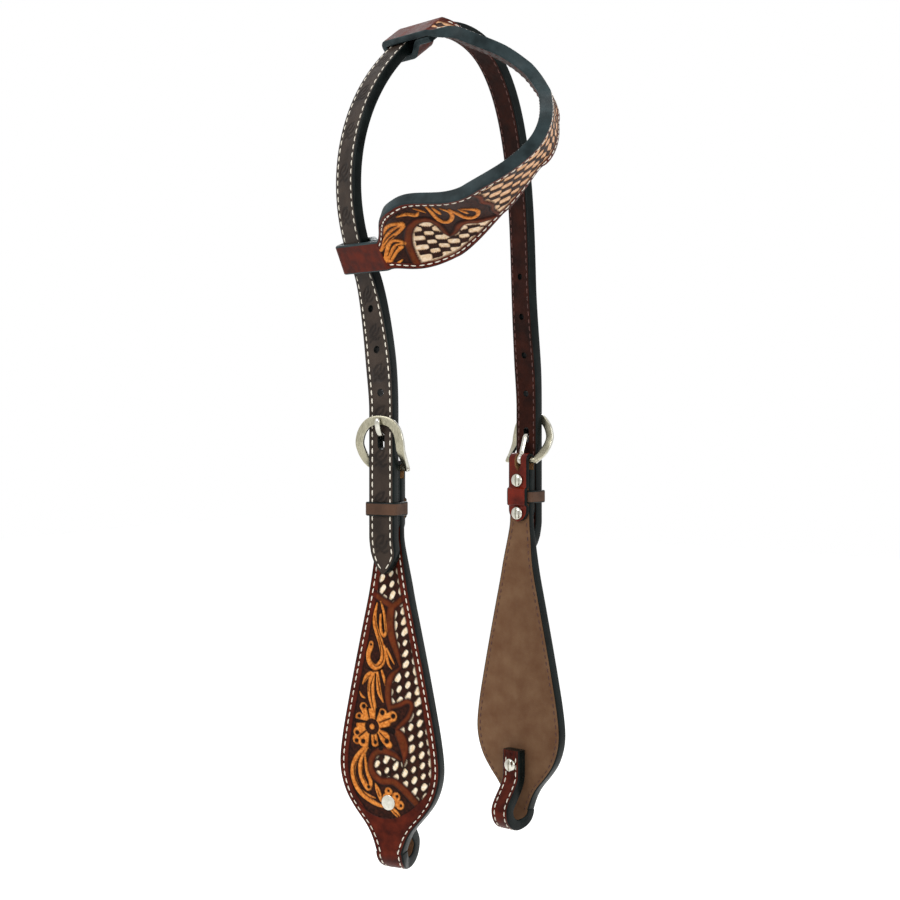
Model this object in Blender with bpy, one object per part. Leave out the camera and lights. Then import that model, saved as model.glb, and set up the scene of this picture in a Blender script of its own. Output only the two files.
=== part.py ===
"""Western one-ear headstall, hanging from its crown.

The crown strap runs in an arch over the poll and ends in two billets. Each billet is buckled to a
spatula-shaped cheek whose narrow tail folds up into a bit loop. A shaped ear piece wraps round the
crown on the right side of the head and slides along it.

World axes: +X is the horse's front, +Y is its left, +Z is up. The origin is the underside of the
crown at its highest point. Each cheek has its own local places (w, n, s): w runs across the strap,
n is outward from the cheek's grain face, and s is downward from the buckle's heel bar.
"""

import math
from collections import namedtuple

import bmesh
import bpy
from mathutils import Vector

MM = 0.001
DEG = math.pi / 180

# Clearances
SEAT_GAP = 0.3 * MM
HOLE_CLEARANCE = 0.3 * MM
OVERRUN = 2.0 * MM

# Crown strap
CROWN_WIDTH = 18.5 * MM
CROWN_FACE_THICK = 3.2 * MM
CROWN_LINING_THICK = 2.9 * MM
EDGE_BEVEL = 0.7 * MM
CROWN_YAW = -15 * DEG
ARCH_RADIUS = 111.75 * MM
ARCH_CENTRE_BACK = 35.4 * MM
ARCH_CENTRE_DROP = 98.7 * MM
ARCH_END_ANGLE = 207 * DEG
FAR_SHOULDER_ANGLE = 50 * DEG
FAR_REACH = 61.4 * MM
FAR_REACH_DROP = 152.7 * MM
FAR_REACH_LEAN = 2 * DEG
SHOULDER_PULL_SHARE = 0.8
HANG_PULL_SHARE = 1.0
SWEEP_PULL_SHARE = 0.5
SETTLE_PULL_SHARE = 0.8

# Billets, the two ends of the crown
BILLET_WIDTH = 17.0 * MM
BILLET_DROP = 62.0 * MM
BILLET_STRAIGHT = 33.0 * MM
BILLET_TIP_LENGTH = 13.0 * MM
BILLET_TIP_SHARES = [(0.0, 1.0), (0.3, 0.9), (0.55, 0.72), (0.75, 0.52), (0.9, 0.32), (1.0, 0.14)]
HOLE_PITCH = 25.0 * MM
HOLE_DIAMETER = 4.2 * MM
FREE_HOLES = 4
FIRST_HOLE_RISE = 43.7 * MM
TONGUE_HOLE_LOW = 11.0 * MM
TONGUE_HOLE_HIGH = 21.3 * MM
TONGUE_HOLE_WIDTH = 4.4 * MM
TONGUE_ENTRY = 13.0 * MM

# Cheeks
BAR_DROP = 267.7 * MM
RIGHT_BAR = (5.0 * MM, -66.3 * MM)
LEFT_BAR = (9.0 * MM, 69.7 * MM)
RIGHT_YAW = 8.7 * DEG
LEFT_YAW = -3 * DEG
CHEEK_WIDTH = 68.0 * MM
CHEEK_DROP = 239.0 * MM
CHEEK_TOP_DROP = 6.3 * MM
CHEEK_FACE_THICK = 3.5 * MM
CHEEK_LINING_THICK = 3.1 * MM
SKIVED_FACE_THICK = 2.1 * MM
SKIVED_LINING_THICK = 1.9 * MM
SKIVE_END_SHARE = 0.3
CHEEK_WIDTH_SHARES = [
    (0.0, 0.25), (0.165, 0.25), (0.215, 0.294), (0.305, 0.4), (0.402, 0.553), (0.502, 0.71),
    (0.598, 0.853), (0.669, 0.949), (0.732, 1.0), (0.774, 0.97), (0.816, 0.86), (0.849, 0.7),
    (0.887, 0.47), (0.912, 0.36), (0.944, 0.272), (0.971, 0.224),
]
TAIL_WIDTH = 13.5 * MM
LOOP_RADIUS = 13.2 * MM
TAIL_OVERLAP = 51.0 * MM
BIT_SCREW_INSET = 9.5 * MM
TAIL_CLOSE_REACH = 6.5 * MM

# Chapes
CHAPE_WIDTH = 15.5 * MM
CHAPE_THICK = 2.0 * MM
CHAPE_DROP = 40.0 * MM
UPPER_SCREW_DROP = 13.2 * MM
LOWER_SCREW_DROP = 34.6 * MM
TONGUE_SLOT_WIDTH = 4.8 * MM
TONGUE_SLOT_DROP = 6.0 * MM
BAR_DIAMETER = 4.0 * MM
BULGE_RAMP = 1.2 * MM
END_BLUNT_SHARE = 0.6

# Keepers
KEEPER_HEIGHT = 8.2 * MM
KEEPER_THICK = 1.5 * MM
KEEPER_SIDE_CLEARANCE = 0.5 * MM
KEEPER_CORNER = 2.6 * MM
KEEPER_PLAY = 0.7 * MM

# Buckles
BAND_WIDTH = 5.4 * MM
BAND_THICK = 2.3 * MM
FRAME_HALF_WIDTH = 13.5 * MM
FRAME_RISE = 28.3 * MM
FRAME_BEND_RISE = 15.5 * MM
FRAME_BAR_HALF = 9.4 * MM
FRAME_MIDDLE_SHARE = 0.8
BAND_SQUARE_SHARE = 0.55
# Shares of the half width and of the height from the bend to the top
FRAME_ARCH_SHARES = [(0.0, 1.0), (0.52, 0.88), (0.86, 0.5)]
# Shares of the half width, of the way in from the front to the bar, and of the bend's height
FRAME_ARM_SHARES = [(1.0, 0.0, 1.0), (0.98, 0.14, 0.66), (0.93, 0.52, 0.3), (0.825, 0.92, 0.05)]
TONGUE_WIDTH = 3.4 * MM
TONGUE_THICK = 2.4 * MM
TONGUE_RING_WALL = 1.6 * MM
TONGUE_BORE_CLEARANCE = 0.25 * MM
TONGUE_SQUARE_SHARE = 0.8
TONGUE_POINT_SHARE = 0.9
TONGUE_TIP_SHARE = 0.6
# Its middle line: of its thickness out and of the ring's radius up; of its thickness under the
# strap and of the way back to the ring; of its thickness under the strap and up the hole; through
# the strap and up the hole; out to the frame's front and up the hole; of the band's width either
# side of the frame's middle
TONGUE_HEEL_SHARES = (0.25, 1.6)
TONGUE_UNDER_SHARES = (1.05, 0.3)
TONGUE_ENTER_SHARES = (0.2, 0.3)
TONGUE_THROUGH_SHARES = (0.6, 0.6)
TONGUE_LEAVE_SHARES = (0.45, 0.92)
TONGUE_REST_SHARES = (0.5, 0.25)

# Binding screws
CHAPE_HEAD_DIAMETER = 8.5 * MM
BIT_CAP_DIAMETER = 9.0 * MM
DOME_HEIGHT = 2.4 * MM
CAP_THICK = 1.0 * MM
RECESS_FLOOR = 0.7 * MM
POST_DIAMETER = 4.0 * MM
SHANK_DIAMETER = 2.4 * MM
SLOT_WIDTH = 0.9 * MM
SLOT_DEPTH = 1.1 * MM
CAP_EDGE_SHARE = 0.35
DOME_RIM_SHARE = 0.3

# Ear piece
UPPER_WRAP_ANGLE = 127.5 * DEG
LOWER_WRAP_ANGLE = 202.5 * DEG
WRAP_CLEARANCE = 0.7 * MM
WRAP_FACE_THICK = 2.1 * MM
WRAP_LINING_THICK = 1.6 * MM
WRAP_CORNER = 2.4 * MM
WRAP_TAIL = 32.0 * MM
WRAP_JOIN = 21.0 * MM
LOWER_WRAP_WIDTH = 18.0 * MM
UPPER_WRAP_WIDTH = 16.5 * MM
EAR_FACE_THICK = 3.7 * MM
EAR_LINING_THICK = 3.3 * MM
EAR_WIDTH = 54.0 * MM
EAR_REACH = 128.0 * MM
EAR_FACING = 38.1 * DEG
EAR_DIP = -5 * DEG
EAR_THICKEN = 18.0 * MM
# Shares of the radius back from the arch's centre, of the reach, of the height between the wraps,
# and of the width, then the roll of the grain face towards the way the ear opening faces
EAR_ROUTE_SHARES = [
    (0.930, 0.508, 0.097, 1.00, 45),
    (0.841, 0.820, 0.196, 0.78, 26),
    (0.662, 1.000, 0.394, 0.57, 16),
    (0.438, 0.845, 0.592, 0.44, 9),
    (0.367, 0.665, 0.752, 0.37, 2),
    (0.438, 0.545, 0.856, 0.35, 0),
    (0.573, 0.410, 0.932, 0.33, 0),
]

# Fineness
ARC_STEP = 4 * DEG
STRAP_STEP = 8.0 * MM
EAR_STEP = 6.5 * MM
ROUND_SIDES = 12
HOLE_SIDES = 10
FRAME_SIDES = 8
RING_SIDES = 16
FOLD_STEPS = 8
KNOT_STEPS = 3
FLATNESS = 0.02 * MM

# Colours
CROWN_COLOUR = (0.062, 0.045, 0.034)
CROWN_LINING_COLOUR = (0.033, 0.014, 0.011)
CHEEK_COLOUR = (0.150, 0.030, 0.014)
CHEEK_LINING_COLOUR = (0.145, 0.068, 0.030)
RUSSET_COLOUR = (0.160, 0.022, 0.012)
KEEPER_COLOUR = (0.110, 0.055, 0.035)
NICKEL_COLOUR = (0.560, 0.540, 0.480)

UP = Vector((0, 0, 1))
Station = namedtuple("Station", "point along across out")
Side = namedtuple("Side", "name origin across out")

CROWN_THICK = CROWN_FACE_THICK + SEAT_GAP + CROWN_LINING_THICK
CROWN_HALF_THICK = CROWN_THICK / 2
CHAPE_INNER = SKIVED_FACE_THICK + SEAT_GAP + SKIVED_LINING_THICK + SEAT_GAP
BAR_OUT = (SEAT_GAP - CHAPE_INNER) / 2
FOLD_RADIUS = (SEAT_GAP + CHAPE_INNER) / 2
BILLET_INNER = SEAT_GAP + CHAPE_THICK + SEAT_GAP
BILLET_MIDDLE = BILLET_INNER + CROWN_HALF_THICK
BILLET_OUTER = BILLET_INNER + CROWN_THICK
TIP_MIDDLE = SEAT_GAP + CROWN_HALF_THICK
CHEEK_THICK = CHEEK_FACE_THICK + SEAT_GAP + CHEEK_LINING_THICK
TAIL_FACE_IN = CHEEK_THICK * 2 + SEAT_GAP
TAIL_END_DROP = CHEEK_DROP - TAIL_OVERLAP
BIT_SCREW_DROP = TAIL_END_DROP + BIT_SCREW_INSET
TAIL_CLOSE_DROP = BIT_SCREW_DROP + TAIL_CLOSE_REACH


def ease(share):
    """Smooth step from 0 to 1."""
    t = min(max(share, 0.0), 1.0)
    return t * t * (3 - 2 * t)


def blend(low, high, share):
    return low + (high - low) * share


def read_shares(shares, t):
    """Value of a (place, value) table at t, on a smooth curve through its rows."""
    last = len(shares) - 1
    slopes = []
    for i in range(last + 1):
        (t0, v0), (t1, v1) = shares[max(i - 1, 0)], shares[min(i + 1, last)]
        slopes.append((v1 - v0) / (t1 - t0))
    for i in range(last):
        (t0, v0), (t1, v1) = shares[i], shares[i + 1]
        if t <= t1:
            span = t1 - t0
            x = max(t - t0, 0) / span
            rise = v0 + (v1 - v0) * x * x * (3 - 2 * x)
            return rise + span * x * (1 - x) * (slopes[i] * (1 - x) - slopes[i + 1] * x)
    return shares[-1][1]


def across_at(yaw):
    return Vector((math.cos(yaw), math.sin(yaw), 0))


# The crown's arch lies in an upright plane: ARCH_BACK points from the right side to the left side,
# and ARCH_ACROSS across the strap towards the horse's front
ARCH_ACROSS = across_at(CROWN_YAW)
ARCH_BACK = UP.cross(ARCH_ACROSS)
ARCH_MIDDLE = ARCH_BACK * ARCH_CENTRE_BACK - UP * ARCH_CENTRE_DROP


def make_side(name, bar, yaw, sign):
    across = across_at(yaw)
    return Side(name, Vector((bar[0], bar[1], -BAR_DROP)), across, across.cross(UP) * sign)


RIGHT = make_side("right", RIGHT_BAR, RIGHT_YAW, 1)
LEFT = make_side("left", LEFT_BAR, LEFT_YAW, -1)


def place(side, w, n, s):
    """World point of a cheek's local place."""
    return side.origin + side.across * w + side.out * n - UP * s


def hermite(start, start_pull, end, end_pull, count):
    """Points of a cubic curve, without its first point."""
    points = []
    for i in range(1, count + 1):
        t = i / count
        t2, t3 = t * t, t * t * t
        points.append(
            start * (2 * t3 - 3 * t2 + 1) + start_pull * (t3 - 2 * t2 + t)
            + end * (3 * t2 - 2 * t3) + end_pull * (t3 - t2)
        )
    return points


def through(values, index, t):
    """Catmull-Rom value between values[index] and values[index + 1]."""
    before, low, high, after = values[index - 1:index + 3]
    return (
        low * 2 + (high - before) * t
        + (before * 2 - low * 5 + high * 4 - after) * t ** 2
        + (low * 3 - before - high * 3 + after) * t ** 3
    ) * 0.5


def stations(points, hints, flip=False):
    """Frames along a route. The strap's width follows the hints, square to the route."""
    frames = []
    last = len(points) - 1
    for i, point in enumerate(points):
        along = (points[min(i + 1, last)] - points[max(i - 1, 0)]).normalized()
        across = (hints[i] - along * hints[i].dot(along)).normalized()
        out = along.cross(across) if flip else across.cross(along)
        frames.append(Station(point, along, across, out))
    return frames


def new_material(name, colour, roughness, metallic=0.0):
    material = bpy.data.materials.new(name)
    material.use_nodes = True
    shader = material.node_tree.nodes["Principled BSDF"]
    shader.inputs["Base Color"].default_value = (*colour, 1.0)
    shader.inputs["Roughness"].default_value = roughness
    shader.inputs["Metallic"].default_value = metallic
    return material


def finish(name, mesh, colour, roughness, metallic=0.0):
    """Links a mesh as the object of one sub-part, with its own material."""
    mesh.materials.append(new_material(name, colour, roughness, metallic))
    piece = bpy.data.objects.new(name, mesh)
    bpy.context.scene.collection.objects.link(piece)
    return piece


def join_solid(piece, operation, name, mesh):
    """Cuts a mesh out of a piece, or joins it to the piece, as a hidden Boolean helper."""
    helper = bpy.data.objects.new(name, mesh)
    bpy.context.scene.collection.objects.link(helper)
    helper.hide_render = True
    helper.display_type = "WIRE"
    modifier = piece.modifiers.new(name, "BOOLEAN")
    modifier.operation = operation
    modifier.solver = "EXACT"
    modifier.object = helper


def ring_mesh(name, rings, closed=False):
    """Closed mesh through rings of points, capped at both ends or joined into a hoop.

    Twisted quads are split the same way everywhere, so that stacked layers stay apart.
    """
    bm = bmesh.new()
    loops = [[bm.verts.new(point) for point in ring] for ring in rings]
    pairs = list(zip(loops, loops[1:]))
    if closed:
        pairs.append((loops[-1], loops[0]))
    else:
        bm.faces.new(loops[0])
        bm.faces.new(loops[-1])
    size = len(loops[0])
    for low, high in pairs:
        for i in range(size):
            j = (i + 1) % size
            corners = [low[i], low[j], high[j], high[i]]
            if i >= size / 2:
                corners.append(corners.pop(0))
            flat = (corners[1].co - corners[0].co).cross(corners[2].co - corners[0].co).normalized()
            if abs(flat.dot(corners[3].co - corners[0].co)) < FLATNESS:
                bm.faces.new(corners)
            else:
                bm.faces.new((corners[0], corners[1], corners[2]))
                bm.faces.new((corners[0], corners[2], corners[3]))
    bmesh.ops.recalc_face_normals(bm, faces=bm.faces)
    mesh = bpy.data.meshes.new(name)
    bm.to_mesh(mesh)
    bm.free()
    return mesh


def smooth(mesh, angle=35 * DEG):
    mesh.shade_smooth()
    mesh.set_sharp_from_angle(angle=angle)


def strap_section(frame, half, low, high, bevel_high):
    """Cross-section of one leather layer, with the two corners of its outer side bevelled."""
    bevel = min(EDGE_BEVEL, half / 2, (high - low) / 2)
    if bevel_high:
        offsets = [
            (-half, low), (-half, high - bevel), (bevel - half, high),
            (half - bevel, high), (half, high - bevel), (half, low),
        ]
    else:
        offsets = [
            (-half, high), (-half, low + bevel), (bevel - half, low),
            (half - bevel, low), (half, low + bevel), (half, high),
        ]
    return [frame.point + frame.across * w + frame.out * n for w, n in offsets]


def strap_layer(name, frames, halves, lows, highs, bevel_high, colour, roughness):
    rings = [
        strap_section(frame, half, low, high, bevel_high)
        for frame, half, low, high in zip(frames, halves, lows, highs)
    ]
    mesh = ring_mesh(name, rings)
    smooth(mesh)
    return finish(name, mesh, colour, roughness)


def turned(name, profile, origin, axis, side_dir, sides=ROUND_SIDES):
    """Turned solid: the profile's (radius, height) points run from the axis back to the axis."""
    other = axis.cross(side_dir)
    bm = bmesh.new()
    loops = []
    for radius, height in profile:
        centre = origin + axis * height
        if radius == 0:
            loops.append([bm.verts.new(centre)])
            continue
        ring = []
        for i in range(sides):
            angle = 2 * math.pi * i / sides
            arm = side_dir * math.cos(angle) + other * math.sin(angle)
            ring.append(bm.verts.new(centre + arm * radius))
        loops.append(ring)
    for low, high in zip(loops, loops[1:]):
        for i in range(sides):
            j = (i + 1) % sides
            corners = [low[i % len(low)], low[j % len(low)], high[j % len(high)], high[i % len(high)]]
            bm.faces.new(list(dict.fromkeys(corners)))
    bmesh.ops.recalc_face_normals(bm, faces=bm.faces)
    mesh = bpy.data.meshes.new(name)
    bm.to_mesh(mesh)
    bm.free()
    smooth(mesh)
    return mesh


def add_prism(bm, outline, depth):
    """Adds a closed prism: the outline's points and the same points moved by depth."""
    low = [bm.verts.new(point) for point in outline]
    high = [bm.verts.new(point + depth) for point in outline]
    faces = [bm.faces.new(low), bm.faces.new(high)]
    size = len(low)
    for i in range(size):
        j = (i + 1) % size
        faces.append(bm.faces.new((low[i], low[j], high[j], high[i])))
    bmesh.ops.recalc_face_normals(bm, faces=faces)


def round_outline(centre, across, along, radius, stretch=0.0, sides=HOLE_SIDES):
    """A circle, or a slot whose two half circles lie a stretch apart."""
    points = []
    for i in range(sides):
        angle = 2 * math.pi * (i + 0.5) / sides
        push = math.copysign(stretch / 2, math.sin(angle))
        points.append(
            centre + across * radius * math.cos(angle) + along * (radius * math.sin(angle) + push)
        )
    return points


def cut(piece, prisms):
    """Cuts a set of (outline, depth) prisms out of a piece, as one hidden cutter."""
    bm = bmesh.new()
    for outline, depth in prisms:
        add_prism(bm, outline, depth)
    mesh = bpy.data.meshes.new(piece.name + "_cutter")
    bm.to_mesh(mesh)
    bm.free()
    join_solid(piece, "DIFFERENCE", mesh.name, mesh)


def arch_point(angle, radius):
    return ARCH_MIDDLE + ARCH_BACK * radius * math.cos(angle) + UP * radius * math.sin(angle)


def billet_middle(side, s):
    """Middle of the billet at a drop below the heel bar: it settles on the cheek past the chape."""
    n = blend(BILLET_MIDDLE, TIP_MIDDLE, ease((s - CHAPE_DROP) / (BILLET_TIP_LENGTH)))
    return place(side, 0, n, s)


def billet_points(side):
    """Straight stretch of one billet from its tip up past the buckle."""
    tip = BILLET_DROP - BILLET_TIP_LENGTH
    drops = [BILLET_DROP - BILLET_TIP_LENGTH * (1 - t) for t, _ in reversed(BILLET_TIP_SHARES)]
    count = math.ceil((tip + BILLET_STRAIGHT) / STRAP_STEP)
    drops = sorted(
        {round(d, 9) for d in drops} | {blend(tip, -BILLET_STRAIGHT, i / count) for i in range(1, count + 1)},
        reverse=True,
    )
    return [billet_middle(side, s) for s in drops]


def crown_route():
    """The crown's middle line from the right billet's tip over the poll to the left one's."""
    right = billet_points(RIGHT)
    left = billet_points(LEFT)
    yaws = [RIGHT_YAW] * len(right)

    arch_end = arch_point(ARCH_END_ANGLE, ARCH_RADIUS)
    arch_along = ARCH_BACK * math.sin(ARCH_END_ANGLE) - UP * math.cos(ARCH_END_ANGLE)
    length = (arch_end - right[-1]).length
    rise = hermite(
        right[-1], UP * length * SETTLE_PULL_SHARE, arch_end, arch_along * length * SWEEP_PULL_SHARE,
        math.ceil(length / STRAP_STEP),
    )
    yaws += [blend(RIGHT_YAW, CROWN_YAW, ease((i + 1) / len(rise))) for i in range(len(rise))]

    # Two arcs that touch inside each other: the wide one of the right side, the tight one on top
    sag = ARCH_RADIUS - ARCH_CENTRE_DROP - CROWN_HALF_THICK
    centre_gap = (ARCH_CENTRE_BACK ** 2 + sag ** 2) / (2 * sag)
    top_radius = ARCH_RADIUS - centre_gap
    top_lean = math.asin(ARCH_CENTRE_BACK / centre_gap)
    arch_top = math.pi / 2 + top_lean
    count = math.ceil((ARCH_END_ANGLE - arch_top) / ARC_STEP)
    arch = [
        arch_point(blend(ARCH_END_ANGLE, arch_top, i / count), ARCH_RADIUS) for i in range(1, count + 1)
    ]
    top_middle = UP * (CROWN_HALF_THICK - top_radius)
    count = math.ceil((top_lean + FAR_SHOULDER_ANGLE) / ARC_STEP / 2)
    top = []
    for i in range(1, count + 1):
        lean = blend(-top_lean, FAR_SHOULDER_ANGLE, i / count)
        top.append(top_middle + ARCH_BACK * top_radius * math.sin(lean) + UP * top_radius * math.cos(lean))

    shoulder = ARCH_BACK * math.cos(FAR_SHOULDER_ANGLE) - UP * math.sin(FAR_SHOULDER_ANGLE)
    far = ARCH_BACK * FAR_REACH - UP * FAR_REACH_DROP
    far_along = ARCH_BACK * math.sin(FAR_REACH_LEAN) - UP * math.cos(FAR_REACH_LEAN)
    length = (far - top[-1]).length
    fall = hermite(
        top[-1], shoulder * length * SHOULDER_PULL_SHARE, far, far_along * length * HANG_PULL_SHARE,
        math.ceil(length / STRAP_STEP),
    )
    yaws += [CROWN_YAW] * (len(arch) + len(top) + len(fall))

    length = (left[-1] - far).length
    settle = hermite(
        far, far_along * length * HANG_PULL_SHARE, left[-1], -UP * length * SETTLE_PULL_SHARE,
        math.ceil(length / STRAP_STEP),
    )
    yaws += [blend(CROWN_YAW, LEFT_YAW, ease((i + 1) / len(settle))) for i in range(len(settle))]
    yaws += [LEFT_YAW] * (len(left) - 1)

    points = right + rise + arch + top + fall + settle + left[-2::-1]
    return stations(points, [across_at(yaw) for yaw in yaws])


def crown_half_width(frame):
    """Half width of the crown, tapered into its billets and their tips."""
    drop = -frame.point.z - BAR_DROP
    tip = (drop - BILLET_DROP + BILLET_TIP_LENGTH) / BILLET_TIP_LENGTH
    if tip > 0:
        return BILLET_WIDTH / 2 * read_shares(BILLET_TIP_SHARES, tip)
    taper = (drop + BILLET_STRAIGHT * 2) / BILLET_STRAIGHT
    return blend(CROWN_WIDTH, BILLET_WIDTH, ease(taper)) / 2


def route_at_height(frames, z, first):
    """Frame of a route at a height, counted from its first or its last end."""
    order = frames if first else frames[::-1]
    for low, high in zip(order, order[1:]):
        if low.point.z <= z <= high.point.z:
            t = (z - low.point.z) / (high.point.z - low.point.z)
            pairs = zip(low, high)
            return Station(*[blend(a, b, t) for a, b in pairs])
    return order[0]


def billet_cutters(frames):
    """Buckle holes of both billets: one drawn long by the tongue, and free ones above it."""
    depth = CROWN_THICK + OVERRUN
    cutters = []
    for first in (True, False):
        middle = (TONGUE_HOLE_LOW + TONGUE_HOLE_HIGH) / 2
        frame = route_at_height(frames, middle - BAR_DROP, first)
        stretch = TONGUE_HOLE_HIGH - TONGUE_HOLE_LOW - TONGUE_HOLE_WIDTH
        start = frame.point - frame.out * depth / 2
        outline = round_outline(start, frame.across, frame.along, TONGUE_HOLE_WIDTH / 2, stretch)
        cutters.append((outline, frame.out * depth))
        for i in range(FREE_HOLES):
            frame = route_at_height(frames, FIRST_HOLE_RISE + HOLE_PITCH * i - BAR_DROP, first)
            start = frame.point - frame.out * depth / 2
            outline = round_outline(start, frame.across, frame.along, HOLE_DIAMETER / 2)
            cutters.append((outline, frame.out * depth))
    return cutters


def build_crown():
    frames = crown_route()
    count = len(frames)
    halves = [crown_half_width(frame) for frame in frames]
    top = CROWN_HALF_THICK
    split = CROWN_HALF_THICK - CROWN_FACE_THICK
    face = strap_layer(
        "crown_face", frames, halves, [split] * count, [top] * count, True, CROWN_COLOUR, 0.55
    )
    lining = strap_layer(
        "crown_lining", frames, halves, [-top] * count, [split - SEAT_GAP] * count, False,
        CROWN_LINING_COLOUR, 0.6,
    )
    for piece in (face, lining):
        cut(piece, billet_cutters(frames))


def cheek_route(side):
    """Grain face of a cheek from its top end, down, round the bit ring and up to the tail's end."""
    turn = CHEEK_DROP - LOOP_RADIUS
    count = math.ceil((turn - CHEEK_TOP_DROP) / STRAP_STEP)
    places = [(0.0, blend(CHEEK_TOP_DROP, turn, i / count)) for i in range(count + 1)]
    steps = math.ceil(math.pi / ARC_STEP / 4)
    for i in range(1, steps + 1):
        angle = math.pi * i / steps
        places.append((-LOOP_RADIUS * (1 - math.cos(angle)), turn + LOOP_RADIUS * math.sin(angle)))
    count = math.ceil((turn - TAIL_CLOSE_DROP) / STRAP_STEP) + 3
    for i in range(1, count + 1):
        n = blend(-LOOP_RADIUS * 2, -TAIL_FACE_IN, ease(i / count))
        places.append((n, blend(turn, TAIL_CLOSE_DROP, i / count)))
    count = math.ceil((TAIL_CLOSE_DROP - TAIL_END_DROP) / STRAP_STEP)
    for i in range(1, count + 1):
        places.append((-TAIL_FACE_IN, blend(TAIL_CLOSE_DROP, TAIL_END_DROP, i / count)))
    points = [place(side, 0, n, s) for n, s in places]
    frames = stations(points, [side.across] * len(points))
    if frames[0].out.dot(side.out) < 0:
        frames = stations(points, [side.across] * len(points), flip=True)
    return frames, places


def cheek_half_width(n, s):
    """Half width of a cheek: its outline down to the loop, then narrowed into the folded tail."""
    if n > -SEAT_GAP:
        return CHEEK_WIDTH / 2 * read_shares(CHEEK_WIDTH_SHARES, s / CHEEK_DROP)
    start = CHEEK_WIDTH * read_shares(CHEEK_WIDTH_SHARES, 1 - LOOP_RADIUS / CHEEK_DROP)
    return blend(start, TAIL_WIDTH, ease(-n / LOOP_RADIUS)) / 2


def skived(s, n, thin, full):
    """Thickness of a cheek layer: thin under the chape, full from the billet's tip down."""
    if n < 0:
        return full
    share = (s - CHAPE_DROP) / (CHEEK_DROP * SKIVE_END_SHARE - CHAPE_DROP)
    return blend(thin, full, ease(share))


def screw_hole(side, drop, radius, out, depth):
    """Round cutter through a cheek's layers at a screw."""
    start = place(side, 0, out, drop)
    return round_outline(start, side.across, UP, radius, sides=ROUND_SIDES), side.out * -depth


def build_cheek(side):
    frames, places = cheek_route(side)
    halves = [cheek_half_width(n, s) for n, s in places]
    face_backs = [-skived(s, n, SKIVED_FACE_THICK, CHEEK_FACE_THICK) for n, s in places]
    lining_tops = [back - SEAT_GAP for back in face_backs]
    lining_backs = [
        top - skived(s, n, SKIVED_LINING_THICK, CHEEK_LINING_THICK)
        for top, (n, s) in zip(lining_tops, places)
    ]
    face = strap_layer(
        side.name + "_cheek_face", frames, halves, face_backs, [0.0] * len(frames), True,
        CHEEK_COLOUR, 0.45,
    )
    lining = strap_layer(
        side.name + "_cheek_lining", frames, halves, lining_backs, lining_tops, False,
        CHEEK_LINING_COLOUR, 0.7,
    )
    radius = POST_DIAMETER / 2 + HOLE_CLEARANCE
    chape_depth = CHAPE_INNER + OVERRUN * 2
    bit_depth = TAIL_FACE_IN + OVERRUN * 2
    for piece in (face, lining):
        cut(piece, [
            screw_hole(side, UPPER_SCREW_DROP, radius, OVERRUN, chape_depth),
            screw_hole(side, LOWER_SCREW_DROP, radius, OVERRUN, chape_depth),
            screw_hole(side, BIT_SCREW_DROP, radius, OVERRUN, bit_depth),
        ])


def bulge(s):
    """How far the chape's inner leg stands off where it passes over the keeper."""
    reach = KEEPER_HEIGHT / 2 + KEEPER_PLAY + SEAT_GAP + BULGE_RAMP
    share = ease((reach - abs(s - keeper_drop())) / BULGE_RAMP)
    return (KEEPER_THICK + SEAT_GAP) * share


def bulge_drops():
    """Drops down the chape's inner leg that its bulge needs."""
    reach = KEEPER_HEIGHT / 2 + KEEPER_PLAY + SEAT_GAP
    steps = [i / 3 for i in range(4)]
    low = [keeper_drop() - reach - BULGE_RAMP * (1 - step) for step in steps]
    high = [keeper_drop() + reach + BULGE_RAMP * step for step in steps]
    return [UPPER_SCREW_DROP / 2] + low + high


def keeper_drop():
    """Middle of the keeper, which sits midway between the two chape screws' heads."""
    return (UPPER_SCREW_DROP + LOWER_SCREW_DROP) / 2


def round_end_drops(length, half, count=4):
    """Drops and half widths of a half-round strap end."""
    rows = []
    for i in range(1, count + 1):
        angle = math.pi / 2 * i / (count + END_BLUNT_SHARE)
        rows.append((length - half + half * math.sin(angle), half * math.cos(angle)))
    return rows


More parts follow.
